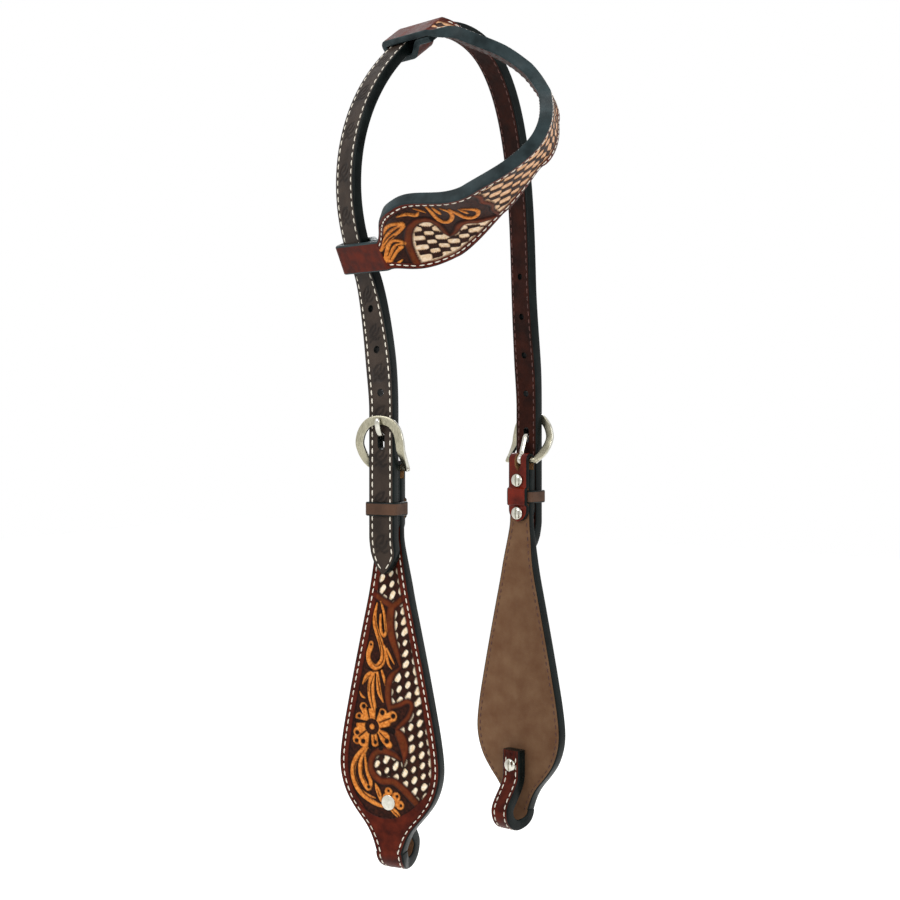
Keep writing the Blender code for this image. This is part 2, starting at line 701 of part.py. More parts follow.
def build_chape(side):
    """Short strap folded round the heel bar, its legs on both faces of the cheek."""
    half = CHAPE_WIDTH / 2
    end = CHAPE_DROP - half
    count = math.ceil(end / STRAP_STEP)
    # Rows of (n, s, half width, turn round the bar): outer leg, fold, inner leg
    rows = [(SEAT_GAP, s, h, 0.0) for s, h in reversed(round_end_drops(CHAPE_DROP, half))]
    rows += [(SEAT_GAP, blend(end, 0.0, i / count), half, 0.0) for i in range(count + 1)]
    for i in range(1, FOLD_STEPS):
        turn = math.pi * i / FOLD_STEPS
        rows.append((
            BAR_OUT + FOLD_RADIUS * math.cos(turn), -FOLD_RADIUS * math.sin(turn), half, turn
        ))
    rows.append((-CHAPE_INNER, 0.0, half, math.pi))
    rows += [(-CHAPE_INNER - bulge(s), s, half, math.pi) for s in bulge_drops() if s < end]
    rows += [
        (-CHAPE_INNER - bulge(s), s, h, math.pi) for s, h in round_end_drops(CHAPE_DROP, half)
    ]
    frames = []
    for n, s, _, turn in rows:
        out = side.out * math.cos(turn) + UP * math.sin(turn)
        frames.append(Station(place(side, 0, n, s), UP, side.across, out))
    chape = strap_layer(
        side.name + "_chape", frames, [row[2] for row in rows], [0.0] * len(rows),
        [CHAPE_THICK] * len(rows), True, RUSSET_COLOUR, 0.3,
    )
    slot_rise = FOLD_RADIUS + CHAPE_THICK + OVERRUN
    slot_depth = (FOLD_RADIUS + CHAPE_THICK + OVERRUN) * 2
    half_slot = TONGUE_SLOT_WIDTH / 2
    front = BAR_OUT + slot_depth / 2
    slot = [
        place(side, -half_slot, front, -slot_rise), place(side, half_slot, front, -slot_rise),
        place(side, half_slot, front, TONGUE_SLOT_DROP - half_slot),
        place(side, half_slot / 2, front, TONGUE_SLOT_DROP - half_slot / 4),
        place(side, -half_slot / 2, front, TONGUE_SLOT_DROP - half_slot / 4),
        place(side, -half_slot, front, TONGUE_SLOT_DROP - half_slot),
    ]
    radius = POST_DIAMETER / 2 + HOLE_CLEARANCE
    recess = CHAPE_HEAD_DIAMETER / 2 + HOLE_CLEARANCE
    recess_top = SEAT_GAP + CHAPE_THICK + OVERRUN
    depth = CHAPE_INNER + CHAPE_THICK * 2 + OVERRUN * 2
    recess_depth = CHAPE_THICK - RECESS_FLOOR + OVERRUN
    drops = (UPPER_SCREW_DROP, LOWER_SCREW_DROP)
    recesses = [screw_hole(side, drop, recess, recess_top, recess_depth) for drop in drops]
    cut(chape, [(slot, side.out * -slot_depth)] + recesses)
    cut(chape, [screw_hole(side, drop, radius, recess_top, depth) for drop in drops])


def hoop_places(half, low, high, corner, steps=3):
    """Rounded rectangle in the (w, n) plane, between two n values."""
    places = []
    centres = [
        (half - corner, high - corner, 0), (corner - half, high - corner, 1),
        (corner - half, low + corner, 2), (half - corner, low + corner, 3),
    ]
    for w, n, quarter in centres:
        for i in range(steps + 1):
            angle = math.pi / 2 * (quarter + i / steps)
            places.append((w + corner * math.cos(angle), n + corner * math.sin(angle)))
    return places


def build_keeper(side):
    """Loop that holds the billet down, trapped under the chape's inner leg."""
    half = max(BILLET_WIDTH, CHAPE_WIDTH) / 2 + KEEPER_SIDE_CLEARANCE
    low = -CHAPE_INNER
    high = BILLET_OUTER + SEAT_GAP
    inner = hoop_places(half, low, high, KEEPER_CORNER - KEEPER_THICK)
    outer = hoop_places(half + KEEPER_THICK, low - KEEPER_THICK, high + KEEPER_THICK, KEEPER_CORNER)
    top = keeper_drop() - KEEPER_HEIGHT / 2
    bottom = keeper_drop() + KEEPER_HEIGHT / 2
    rings = [
        [place(side, *b, top), place(side, *a, top), place(side, *a, bottom), place(side, *b, bottom)]
        for a, b in zip(inner, outer)
    ]
    name = side.name + "_keeper"
    mesh = ring_mesh(name, rings, closed=True)
    smooth(mesh)
    finish(name, mesh, KEEPER_COLOUR, 0.55)


def frame_places():
    """Middle line of a buckle frame as (w, n, s): flat arch, bent arms and straight heel bar."""
    front = BILLET_OUTER + SEAT_GAP + BAND_THICK / 2
    knots = [
        Vector((FRAME_HALF_WIDTH * w, front, blend(-FRAME_BEND_RISE, -FRAME_RISE, rise)))
        for w, rise in FRAME_ARCH_SHARES
    ]
    knots += [
        Vector((FRAME_HALF_WIDTH * w, blend(front, BAR_OUT, inward), -FRAME_BEND_RISE * rise))
        for w, inward, rise in FRAME_ARM_SHARES
    ]
    knots.append(Vector((FRAME_BAR_HALF, BAR_OUT, 0)))
    left_knots = [Vector((-k.x, k.y, k.z)) for k in reversed(knots[1:])]
    loop = knots + left_knots
    size = len(loop)
    route = []
    for i in range(size):
        if i == len(knots) - 1:
            route.append(loop[i])
            continue
        window = [loop[(i + j - 1) % size] for j in range(4)]
        for step in range(KNOT_STEPS):
            route.append(through(window, 1, step / KNOT_STEPS))
    return route


def oblong(half_w, half_t, square):
    """Cross-section between an oval (square 1) and a box with rounded corners (towards 0)."""
    places = []
    for j in range(FRAME_SIDES):
        angle = 2 * math.pi * (j + 0.5) / FRAME_SIDES
        c, d = math.cos(angle), math.sin(angle)
        w = math.copysign(abs(c) ** square, c) * half_w
        t = math.copysign(abs(d) ** square, d) * half_t
        places.append((w, t))
    return places


def build_buckle_frame(side):
    route = frame_places()
    size = len(route)
    middle = FRAME_BEND_RISE * FRAME_MIDDLE_SHARE
    rings = []
    for i, spot in enumerate(route):
        along = (route[(i + 1) % size] - route[i - 1]).normalized()
        radial = Vector((spot.x, 0, spot.z + middle))
        radial = (radial - along * radial.dot(along)).normalized()
        thick = along.cross(radial)
        barness = ease((FRAME_HALF_WIDTH - abs(spot.x)) / (FRAME_HALF_WIDTH - FRAME_BAR_HALF))
        barness = barness if spot.z > -FRAME_BEND_RISE / 2 else 0.0
        half_w = blend(BAND_WIDTH, BAR_DIAMETER, barness) / 2
        half_t = blend(BAND_THICK, BAR_DIAMETER, barness) / 2
        square = blend(BAND_SQUARE_SHARE, 1.0, barness)
        ring = []
        for w, t in oblong(half_w, half_t, square):
            spot_at = spot + radial * w + thick * t
            ring.append(place(side, spot_at.x, spot_at.y, spot_at.z))
        rings.append(ring)
    name = side.name + "_buckle_frame"
    mesh = ring_mesh(name, rings, closed=True)
    smooth(mesh)
    finish(name, mesh, NICKEL_COLOUR, 0.25, 1.0)


def build_tongue(side):
    """Tongue: a ring round the heel bar and a shank bent up through the billet's hole."""
    inner = BAR_DIAMETER / 2 + TONGUE_BORE_CLEARANCE
    outer = inner + TONGUE_RING_WALL
    front = BILLET_OUTER + SEAT_GAP + BAND_THICK + SEAT_GAP + TONGUE_THICK / 2
    rise = TONGUE_HOLE_HIGH - TONGUE_ENTRY
    under, back = TONGUE_UNDER_SHARES
    enter, enter_up = TONGUE_ENTER_SHARES
    cross, cross_up = TONGUE_THROUGH_SHARES
    leave, leave_up = TONGUE_LEAVE_SHARES
    before, past = TONGUE_REST_SHARES
    # Middle line of the shank as (n, s), from inside the ring's wall to the tip on the arch
    knots = [
        Vector((BAR_OUT, -(inner + outer) / 2)),
        Vector((BAR_OUT + TONGUE_THICK * TONGUE_HEEL_SHARES[0], -outer * TONGUE_HEEL_SHARES[1])),
        Vector((BILLET_INNER - TONGUE_THICK * under, -blend(TONGUE_ENTRY, outer, back))),
        Vector((BILLET_INNER - TONGUE_THICK * enter, -TONGUE_ENTRY - rise * enter_up)),
        Vector((blend(BILLET_INNER, BILLET_OUTER, cross), -TONGUE_ENTRY - rise * cross_up)),
        Vector((blend(BILLET_OUTER, front, leave), -TONGUE_ENTRY - rise * leave_up)),
        Vector((front, -FRAME_RISE + BAND_WIDTH * before)),
        Vector((front, -FRAME_RISE - BAND_WIDTH * past)),
    ]
    padded = [knots[0] * 2 - knots[1]] + knots + [knots[-1] * 2 - knots[-2]]
    route = []
    for i in range(len(knots) - 1):
        route += [through(padded, i + 1, step / KNOT_STEPS) for step in range(KNOT_STEPS)]
    route.append(knots[-1])
    rings = []
    last = len(route) - 1
    for i, spot in enumerate(route):
        along = (route[min(i + 1, last)] - route[max(i - 1, 0)]).normalized()
        thick = Vector((-along.y, along.x))
        tip = ease((i / last - TONGUE_POINT_SHARE) / (1 - TONGUE_POINT_SHARE))
        scale = blend(1.0, TONGUE_TIP_SHARE, tip) / 2
        ring = []
        for w, t in oblong(TONGUE_WIDTH * scale, TONGUE_THICK * scale, TONGUE_SQUARE_SHARE):
            spot_at = spot + thick * t
            ring.append(place(side, w, spot_at.x, spot_at.y))
        rings.append(ring)
    name = side.name + "_buckle_tongue"
    piece = finish(name, ring_mesh(name, rings), NICKEL_COLOUR, 0.2, 1.0)
    ring_rows = []
    half = TONGUE_WIDTH / 2
    for i in range(RING_SIDES):
        angle = 2 * math.pi * i / RING_SIDES
        row = []
        for radius, w in ((inner, -half), (outer, -half), (outer, half), (inner, half)):
            row.append(place(side, w, BAR_OUT + radius * math.cos(angle), radius * math.sin(angle)))
        ring_rows.append(row)
    join_solid(piece, "UNION", name + "_ring_cutter", ring_mesh(name + "_ring", ring_rows, closed=True))


def build_screw_set(side, label, drop, cap_out, head_in, cap_diameter, head_diameter):
    """Binding-screw set: a post with a cap outside, and a domed, slotted screw inside."""
    axis = side.out
    cap_radius = cap_diameter / 2
    post_radius = POST_DIAMETER / 2
    shank_radius = SHANK_DIAMETER / 2
    bore_radius = shank_radius + HOLE_CLEARANCE
    length = cap_out - head_in
    top = place(side, 0, cap_out, drop)
    edge = CAP_THICK * CAP_EDGE_SHARE
    post_profile = [
        (0, CAP_THICK), (cap_radius - edge, CAP_THICK), (cap_radius, CAP_THICK - edge),
        (cap_radius, 0), (post_radius, 0), (post_radius, SEAT_GAP - length),
        (bore_radius, SEAT_GAP - length), (bore_radius, -CAP_THICK), (0, -CAP_THICK),
    ]
    name = side.name + "_" + label + "_post"
    mesh = turned(name, post_profile, top, axis, side.across)
    finish(name, mesh, NICKEL_COLOUR, 0.25, 1.0)

    head_radius = head_diameter / 2
    bottom = place(side, 0, head_in, drop)
    rim = DOME_HEIGHT * DOME_RIM_SHARE
    dome = []
    steps = 4
    for i in range(steps + 1):
        angle = math.pi / 2 * i / steps
        dome.append((head_radius * math.cos(angle), rim + (DOME_HEIGHT - rim) * math.sin(angle)))
    dome[-1] = (0, DOME_HEIGHT)
    screw_profile = [
        (0, CAP_THICK + SEAT_GAP - length), (shank_radius, CAP_THICK + SEAT_GAP - length),
        (shank_radius, 0), (head_radius, 0),
    ] + dome
    name = side.name + "_" + label + "_screw"
    mesh = turned(name, screw_profile, bottom, -axis, side.across)
    screw = finish(name, mesh, NICKEL_COLOUR, 0.25, 1.0)
    half_slot = SLOT_WIDTH / 2
    reach = head_radius + OVERRUN
    floor = bottom - axis * (DOME_HEIGHT - SLOT_DEPTH)
    outline = [
        floor + side.across * half_slot + UP * reach, floor - side.across * half_slot + UP * reach,
        floor - side.across * half_slot - UP * reach, floor + side.across * half_slot - UP * reach,
    ]
    cut(screw, [(outline, axis * -(SLOT_DEPTH + OVERRUN))])


def build_screws(side):
    cap_seat = SEAT_GAP + RECESS_FLOOR + SEAT_GAP / 2
    head_seat = -CHAPE_INNER - CHAPE_THICK - SEAT_GAP
    for label, drop in (("upper_chape", UPPER_SCREW_DROP), ("lower_chape", LOWER_SCREW_DROP)):
        build_screw_set(side, label, drop, cap_seat, head_seat, CHAPE_HEAD_DIAMETER, CHAPE_HEAD_DIAMETER)
    build_screw_set(
        side, "bit", BIT_SCREW_DROP, SEAT_GAP, -TAIL_FACE_IN - SEAT_GAP, BIT_CAP_DIAMETER,
        CHAPE_HEAD_DIAMETER,
    )


def wrap_places():
    """Line between the two ear layers round the crown, as (b, n): tail, three sides, then out."""
    level = CROWN_HALF_THICK + WRAP_CLEARANCE + WRAP_LINING_THICK + SEAT_GAP / 2
    side_b = -(CROWN_WIDTH / 2 + WRAP_CLEARANCE + WRAP_LINING_THICK + SEAT_GAP / 2)
    tail_n = level - WRAP_LINING_THICK * 2 - SEAT_GAP * 2
    lead_b = CROWN_WIDTH / 2 - WRAP_CLEARANCE
    places = [(WRAP_TAIL, tail_n), ((WRAP_TAIL + WRAP_JOIN) / 2, tail_n), (WRAP_JOIN, tail_n)]
    count = 4
    for i in range(1, count + 1):
        places.append((blend(WRAP_JOIN, lead_b, i / count), blend(tail_n, -level, ease(i / count))))
    places.append((0.0, -level))
    for quarter, centre_n in ((0, WRAP_CORNER - level), (1, level - WRAP_CORNER)):
        for i in range(4):
            angle = math.pi * 1.5 - math.pi / 2 * (quarter + i / 3)
            places.append((
                side_b + WRAP_CORNER + WRAP_CORNER * math.cos(angle),
                centre_n + WRAP_CORNER * math.sin(angle),
            ))
    places.append((0.0, level))
    places.append((lead_b, level))
    places.append((WRAP_JOIN, level))
    places.append((WRAP_TAIL, level))
    return places


def wrap_points(angle):
    """World points of a wrap at one place on the arch, tail first, and the arch's own directions."""
    out = ARCH_BACK * math.cos(angle) + UP * math.sin(angle)
    up_strap = ARCH_BACK * math.sin(angle) - UP * math.cos(angle)
    centre = arch_point(angle, ARCH_RADIUS)
    points = [centre + ARCH_ACROSS * b + out * n for b, n in wrap_places()]
    return points, up_strap


def ear_route():
    """Frames, widths and layer thickening along the ear piece, from lower tail to upper tail."""
    low_points, low_hint = wrap_points(LOWER_WRAP_ANGLE)
    top_points, top_hint = wrap_points(UPPER_WRAP_ANGLE)
    top_hint = -top_hint
    facing = ARCH_ACROSS * math.cos(EAR_FACING) - ARCH_BACK * math.sin(EAR_FACING)
    facing = (facing + UP * math.sin(EAR_DIP)).normalized()
    height = top_points[-1].z - low_points[-1].z
    knots = [low_points[-2], low_points[-1]]
    widths = [LOWER_WRAP_WIDTH, LOWER_WRAP_WIDTH]
    rolls = []
    for back, reach, rise, width, roll in EAR_ROUTE_SHARES:
        knots.append(
            ARCH_MIDDLE - ARCH_BACK * ARCH_RADIUS * back + ARCH_ACROSS * EAR_REACH * reach
            + UP * (low_points[-1].z + height * rise - ARCH_MIDDLE.z)
        )
        widths.append(EAR_WIDTH * width)
        rolls.append(roll * DEG)
    knots += [top_points[-1], top_points[-2]]
    widths += [UPPER_WRAP_WIDTH, UPPER_WRAP_WIDTH]
    hints = [low_hint, low_hint]
    for i, roll in enumerate(rolls):
        along = (knots[i + 3] - knots[i + 1]).normalized()
        away = along.cross(facing).normalized()
        hints.append(facing * math.cos(roll) - away * math.sin(roll))
    hints += [top_hint, top_hint]

    points = low_points[:-1]
    route_hints = [low_hint] * len(points)
    route_widths = [LOWER_WRAP_WIDTH] * len(points)
    for i in range(1, len(knots) - 2):
        length = (knots[i + 1] - knots[i]).length
        count = math.ceil(length / EAR_STEP)
        for step in range(count):
            t = step / count
            points.append(through(knots, i, t))
            route_hints.append(blend(hints[i], hints[i + 1], ease(t)))
            route_widths.append(blend(widths[i], widths[i + 1], ease(t)))
    points += top_points[::-1]
    route_hints += [top_hint] * len(top_points)
    route_widths += [UPPER_WRAP_WIDTH] * len(top_points)

    low_end = knots[1]
    top_end = knots[-2]
    wrap_count = len(low_points)
    fullness = []
    for i, point in enumerate(points):
        if i < wrap_count or i >= len(points) - wrap_count:
            fullness.append(0.0)
            continue
        from_wrap = min((point - low_end).length, (point - top_end).length)
        fullness.append(ease((from_wrap - SEAT_GAP) / EAR_THICKEN))
    return stations(points, route_hints, flip=True), route_widths, fullness


def build_ear():
    frames, widths, fullness = ear_route()
    halves = [width / 2 for width in widths]
    middle = SEAT_GAP / 2
    face_tops = [middle + blend(WRAP_FACE_THICK, EAR_FACE_THICK, t) for t in fullness]
    lining_backs = [-middle - blend(WRAP_LINING_THICK, EAR_LINING_THICK, t) for t in fullness]
    count = len(frames)
    strap_layer(
        "ear_face", frames, halves, [middle] * count, face_tops, True, CHEEK_COLOUR, 0.45
    )
    strap_layer(
        "ear_lining", frames, halves, lining_backs, [-middle] * count, False, CROWN_LINING_COLOUR, 0.6
    )


def main():
    for thing in list(bpy.data.objects):
        bpy.data.objects.remove(thing, do_unlink=True)
    build_crown()
    for side in (RIGHT, LEFT):
        build_cheek(side)
        build_chape(side)
        build_keeper(side)
        build_buckle_frame(side)
        build_tongue(side)
        build_screws(side)
    build_ear()


main()
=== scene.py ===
# %% [markdown]
# # A one-ear western headstall
#
# A headstall is the part of a bridle that goes over the horse's head. This one hangs from its
# crown strap, with an ear loop on the right side and a wide tooled cheek on each side. The packed
# CAD model is loaded as a fixed frame, and each leather strap is then made again on the same
# curves, with rounded edges, tooling, stitches and painted edges.

import math

import bmesh
import bpy
import numpy as np
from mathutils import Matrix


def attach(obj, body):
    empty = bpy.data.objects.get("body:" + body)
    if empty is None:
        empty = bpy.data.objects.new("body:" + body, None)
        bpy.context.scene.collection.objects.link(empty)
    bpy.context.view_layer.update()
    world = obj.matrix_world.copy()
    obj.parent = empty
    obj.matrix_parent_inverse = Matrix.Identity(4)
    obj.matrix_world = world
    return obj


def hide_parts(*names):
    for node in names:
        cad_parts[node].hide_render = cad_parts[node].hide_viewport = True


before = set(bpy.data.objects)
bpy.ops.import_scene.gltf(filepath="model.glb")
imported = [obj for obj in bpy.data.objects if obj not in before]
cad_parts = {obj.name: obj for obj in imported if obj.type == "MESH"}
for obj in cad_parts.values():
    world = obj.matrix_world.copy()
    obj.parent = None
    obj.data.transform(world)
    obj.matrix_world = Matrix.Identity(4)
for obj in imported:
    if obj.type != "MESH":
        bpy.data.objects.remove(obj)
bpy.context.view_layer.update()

# %% [markdown]
# The straps follow curves that are worked out from a few real sizes. They are the sizes of the CAD
# source, repeated here because this script reads nothing but the frame. Everything is in metres.

# %% Sizes of the straps
MM = 0.001
DEG = math.pi / 180
SEAT_GAP = 0.3 * MM

CROWN_WIDTH = 18.5 * MM
CROWN_FACE_THICK = 3.2 * MM
CROWN_LINING_THICK = 2.9 * MM
CROWN_YAW = -15 * DEG
ARCH_RADIUS = 111.75 * MM
ARCH_CENTRE_BACK = 35.4 * MM
ARCH_CENTRE_DROP = 98.7 * MM
ARCH_END_ANGLE = 207 * DEG
FAR_SHOULDER_ANGLE = 50 * DEG
FAR_REACH = 61.4 * MM
FAR_REACH_DROP = 152.7 * MM
FAR_REACH_LEAN = 2 * DEG
SHOULDER_PULL_SHARE = 0.8
HANG_PULL_SHARE = 1.0
SWEEP_PULL_SHARE = 0.5
SETTLE_PULL_SHARE = 0.8

BILLET_WIDTH = 17.0 * MM
BILLET_DROP = 62.0 * MM
BILLET_STRAIGHT = 33.0 * MM
BILLET_TIP_LENGTH = 13.0 * MM
BILLET_TIP_SHARES = [(0.0, 1.0), (0.3, 0.9), (0.55, 0.72), (0.75, 0.52), (0.9, 0.32), (1.0, 0.14)]
HOLE_PITCH = 25.0 * MM
HOLE_DIAMETER = 4.2 * MM
FREE_HOLES = 4
FIRST_HOLE_RISE = 43.7 * MM
TONGUE_HOLE_LOW = 11.0 * MM
TONGUE_HOLE_HIGH = 21.3 * MM
TONGUE_HOLE_WIDTH = 4.4 * MM
TONGUE_ENTRY = 13.0 * MM

BAR_DROP = 267.7 * MM
RIGHT_BAR = (5.0 * MM, -66.3 * MM)
LEFT_BAR = (9.0 * MM, 69.7 * MM)
RIGHT_YAW = 8.7 * DEG
LEFT_YAW = -3 * DEG
CHEEK_WIDTH = 68.0 * MM
CHEEK_DROP = 239.0 * MM
CHEEK_TOP_DROP = 6.3 * MM
CHEEK_FACE_THICK = 3.5 * MM
CHEEK_LINING_THICK = 3.1 * MM
SKIVED_FACE_THICK = 2.1 * MM
SKIVED_LINING_THICK = 1.9 * MM
SKIVE_END_SHARE = 0.3
CHEEK_WIDTH_SHARES = [
    (0.0, 0.25), (0.165, 0.25), (0.215, 0.294), (0.305, 0.4), (0.402, 0.553), (0.502, 0.71),
    (0.598, 0.853), (0.669, 0.949), (0.732, 1.0), (0.774, 0.97), (0.816, 0.86), (0.849, 0.7),
    (0.887, 0.47), (0.912, 0.36), (0.944, 0.272), (0.971, 0.224),
]
TAIL_WIDTH = 13.5 * MM
LOOP_RADIUS = 13.2 * MM
TAIL_END_DROP = CHEEK_DROP - 51.0 * MM
BIT_SCREW_DROP = TAIL_END_DROP + 9.5 * MM
TAIL_CLOSE_DROP = BIT_SCREW_DROP + 6.5 * MM

CHAPE_WIDTH = 15.5 * MM
CHAPE_THICK = 2.0 * MM
CHAPE_DROP = 40.0 * MM
UPPER_SCREW_DROP = 13.2 * MM
LOWER_SCREW_DROP = 34.6 * MM
TONGUE_SLOT_WIDTH = 4.8 * MM
TONGUE_SLOT_DROP = 6.0 * MM
BAR_DIAMETER = 4.0 * MM
BULGE_RAMP = 1.2 * MM
KEEPER_HEIGHT = 8.2 * MM
KEEPER_THICK = 1.5 * MM
KEEPER_SIDE_CLEARANCE = 0.5 * MM
KEEPER_CORNER = 2.6 * MM
KEEPER_PLAY = 0.7 * MM
KEEPER_DROP = (UPPER_SCREW_DROP + LOWER_SCREW_DROP) / 2

CROWN_THICK = CROWN_FACE_THICK + SEAT_GAP + CROWN_LINING_THICK
CROWN_HALF_THICK = CROWN_THICK / 2
CHAPE_INNER = SKIVED_FACE_THICK + SEAT_GAP + SKIVED_LINING_THICK + SEAT_GAP
BAR_OUT = (SEAT_GAP - CHAPE_INNER) / 2
FOLD_RADIUS = (SEAT_GAP + CHAPE_INNER) / 2
BILLET_INNER = SEAT_GAP + CHAPE_THICK + SEAT_GAP
BILLET_MIDDLE = BILLET_INNER + CROWN_HALF_THICK
BILLET_OUTER = BILLET_INNER + CROWN_THICK
TIP_MIDDLE = SEAT_GAP + CROWN_HALF_THICK
CHEEK_THICK = CHEEK_FACE_THICK + SEAT_GAP + CHEEK_LINING_THICK
TAIL_FACE_IN = CHEEK_THICK * 2 + SEAT_GAP

# %% [markdown]
# Small curve tools come first. `ease` is a smooth step, `hermite` a cubic curve between two places
# with a given pull at each end, and `stations` gives each point of a route its own three
# directions: along the strap, across it, and out of its grain face. NumPy handles whole routes at
# once, which keeps half a million points quick.

# %% Curve tools
UP = np.array([0.0, 0.0, 1.0])


def unit(vectors):
    """Vectors made one long."""
    return vectors / np.linalg.norm(vectors, axis=-1, keepdims=True)


def ease(share):
    """Smooth step from 0 to 1."""
    t = np.clip(share, 0.0, 1.0)
    return t * t * (3 - 2 * t)


def blend(low, high, share):
    """Value between two others."""
    return low + (high - low) * share


def read_shares(shares, places):
    """Values of a (place, value) table, on a smooth curve through its rows."""
    xs, ys = np.array(shares).T
    last = len(xs) - 1
    ahead = np.minimum(np.arange(last + 1) + 1, last)
    behind = np.maximum(np.arange(last + 1) - 1, 0)
    slopes = (ys[ahead] - ys[behind]) / (xs[ahead] - xs[behind])
    at = np.clip(np.asarray(places, float), xs[0], xs[-1])
    low = np.clip(np.searchsorted(xs, at, side="left") - 1, 0, last - 1)
    span = xs[low + 1] - xs[low]
    x = (at - xs[low]) / span
    rise = ys[low] + (ys[low + 1] - ys[low]) * x * x * (3 - 2 * x)
    return rise + span * x * (1 - x) * (slopes[low] * (1 - x) - slopes[low + 1] * x)


def hermite(start, start_pull, end, end_pull, step):
    """Points of a cubic curve without its first. A pull is a direction times a share of the span."""
    span = np.linalg.norm(end - start)
    count = math.ceil(span / step)
    t = (np.arange(1, count + 1) / count)[:, None]
    return (
        start * (2 * t ** 3 - 3 * t ** 2 + 1) + start_pull * span * (t ** 3 - 2 * t ** 2 + t)
        + end * (3 * t ** 2 - 2 * t ** 3) + end_pull * span * (t ** 3 - t ** 2)
    )


def through(knots, index, t):
    """Catmull-Rom points between knots[index] and knots[index + 1], at the shares t."""
    before, low, high, after = [np.asarray(knot, float) for knot in knots[index - 1:index + 3]]
    t = np.asarray(t, float)
    if low.ndim:
        t = t[..., None]
    return (
        low * 2 + (high - before) * t + (before * 2 - low * 5 + high * 4 - after) * t ** 2
        + (low * 3 - before - high * 3 + after) * t ** 3
    ) * 0.5


def smooth_line(knots, steps):
    """Smooth line through knots, with so many steps between each two."""
    padded = [knots[0] * 2 - knots[1]] + knots + [knots[-1] * 2 - knots[-2]]
    shares = np.arange(steps) / steps
    return np.vstack([through(padded, i + 1, shares) for i in range(len(knots) - 1)] + [knots[-1:]])


def length_along(points):
    """Length along a line at each of its points."""
    return np.concatenate([[0], np.cumsum(np.linalg.norm(np.diff(points, axis=0), axis=1))])


def stations(points, hints, flip=False):
    """Points with their directions along, across (by the hints) and out."""
    points, hints = np.array(points, float), np.array(hints, float)
    along = unit(np.vstack([points[1:], points[-1:]]) - np.vstack([points[:1], points[:-1]]))
    across = unit(hints - along * (hints * along).sum(1, keepdims=True))
    out = np.cross(along, across) if flip else np.cross(across, along)
    return points, along, across, out


def across_at(yaw):
    """Level direction at an angle from the x axis."""
    yaw = np.asarray(yaw, float)
    return np.stack([np.cos(yaw), np.sin(yaw), 0 * yaw], -1)


class Side:
    """One side of the head: w runs across its cheek, n out of its face, s down from the buckle."""

    def __init__(self, name, bar, yaw, sign):
        self.name = name
        self.sign = sign
        self.yaw = yaw
        self.origin = np.array([bar[0], bar[1], -BAR_DROP])
        self.across = across_at(yaw)
        self.out = np.cross(self.across, UP) * sign

    def place(self, w, n, s):
        """World points from the side's own coordinates."""
        w, n, s = [np.asarray(value, float)[..., None] for value in (w, n, s)]
        return self.origin + self.across * w + self.out * n - UP * s


RIGHT = Side("right", RIGHT_BAR, RIGHT_YAW, 1)
LEFT = Side("left", LEFT_BAR, LEFT_YAW, -1)

# %% [markdown]
# ## Camera, light and backdrop
#
# The photograph was taken level with the ear loop, from about a metre, a little to the front of
# the right side. The lens is shifted rather than tilted, so upright lines stay upright. Three soft
# area lamps and an even world light the leather at a plain level, and the floor looks white.

# %% Camera
CAMERA_YAW = 36.7 * DEG
CAMERA_DISTANCE = 1.019
CAMERA_HEIGHT = -220.7 * MM
CAMERA_SIDE = 0.5 * MM
IMAGE_PIXELS = 900
FOCAL_PIXELS = 1632
HORIZON_PIXELS = 388
SENSOR_MM = 36.0

camera_data = bpy.data.cameras.new("camera")
camera_data.sensor_width = SENSOR_MM
camera_data.lens = FOCAL_PIXELS / IMAGE_PIXELS * SENSOR_MM
camera_data.shift_y = (HORIZON_PIXELS / IMAGE_PIXELS) - 0.5
camera = bpy.data.objects.new("camera", camera_data)
camera.location = (
    math.sin(CAMERA_YAW) * CAMERA_DISTANCE + math.cos(CAMERA_YAW) * CAMERA_SIDE,
    -math.cos(CAMERA_YAW) * CAMERA_DISTANCE + math.sin(CAMERA_YAW) * CAMERA_SIDE,
    CAMERA_HEIGHT,
)
camera.rotation_euler = (math.pi / 2, 0, CAMERA_YAW)
bpy.context.scene.collection.objects.link(camera)
bpy.context.scene.camera = camera
bpy.context.scene.view_settings.view_transform = "Standard"


# %% One helper for nodes, one for colours
def add_node(tree, kind, settings=None, sockets=None):
    """Adds a node with its properties and its inputs, each input a value or a link."""
    made = tree.nodes.new(kind)
    for key, value in (settings or {}).items():
        setattr(made, key, value)
    for key, value in (sockets or {}).items():
        if isinstance(value, bpy.types.NodeSocket):
            tree.links.new(value, made.inputs[key])
        else:
            made.inputs[key].default_value = value
    return made


def linear(hex_colour):
    """Linear RGBA of an sRGB hex colour."""
    channels = [int(hex_colour[i:i + 2], 16) / 255 for i in (1, 3, 5)]
    return [c / 12.92 if c <= 0.04045 else ((c + 0.055) / 1.055) ** 2.4 for c in channels] + [1.0]


# %% World, lamps and floor
WORLD_STRENGTH = 0.62
FLOOR_HEIGHT = -0.80
FLOOR_SIZE = 9.0
FLOOR_LIFT = 0.45
WHITE = (1, 1, 1, 1)
LAMP_TARGET = (0.0, 0.0, -0.25)

world = bpy.data.worlds.new("studio")
bpy.context.scene.world = world
world.use_nodes = True
tree = world.node_tree
tree.nodes.clear()


def seen_directly(tree):
    """1 for what the camera sees straight on, in a mirror or through glass, else 0."""
    path = add_node(tree, "ShaderNodeLightPath").outputs
    seen = path["Is Camera Ray"]
    for ray in ("Is Glossy Ray", "Is Transmission Ray"):
        seen = add_node(
            tree, "ShaderNodeMath", {"operation": "MAXIMUM"}, {0: seen, 1: path[ray]}
        ).outputs[0]
    return seen


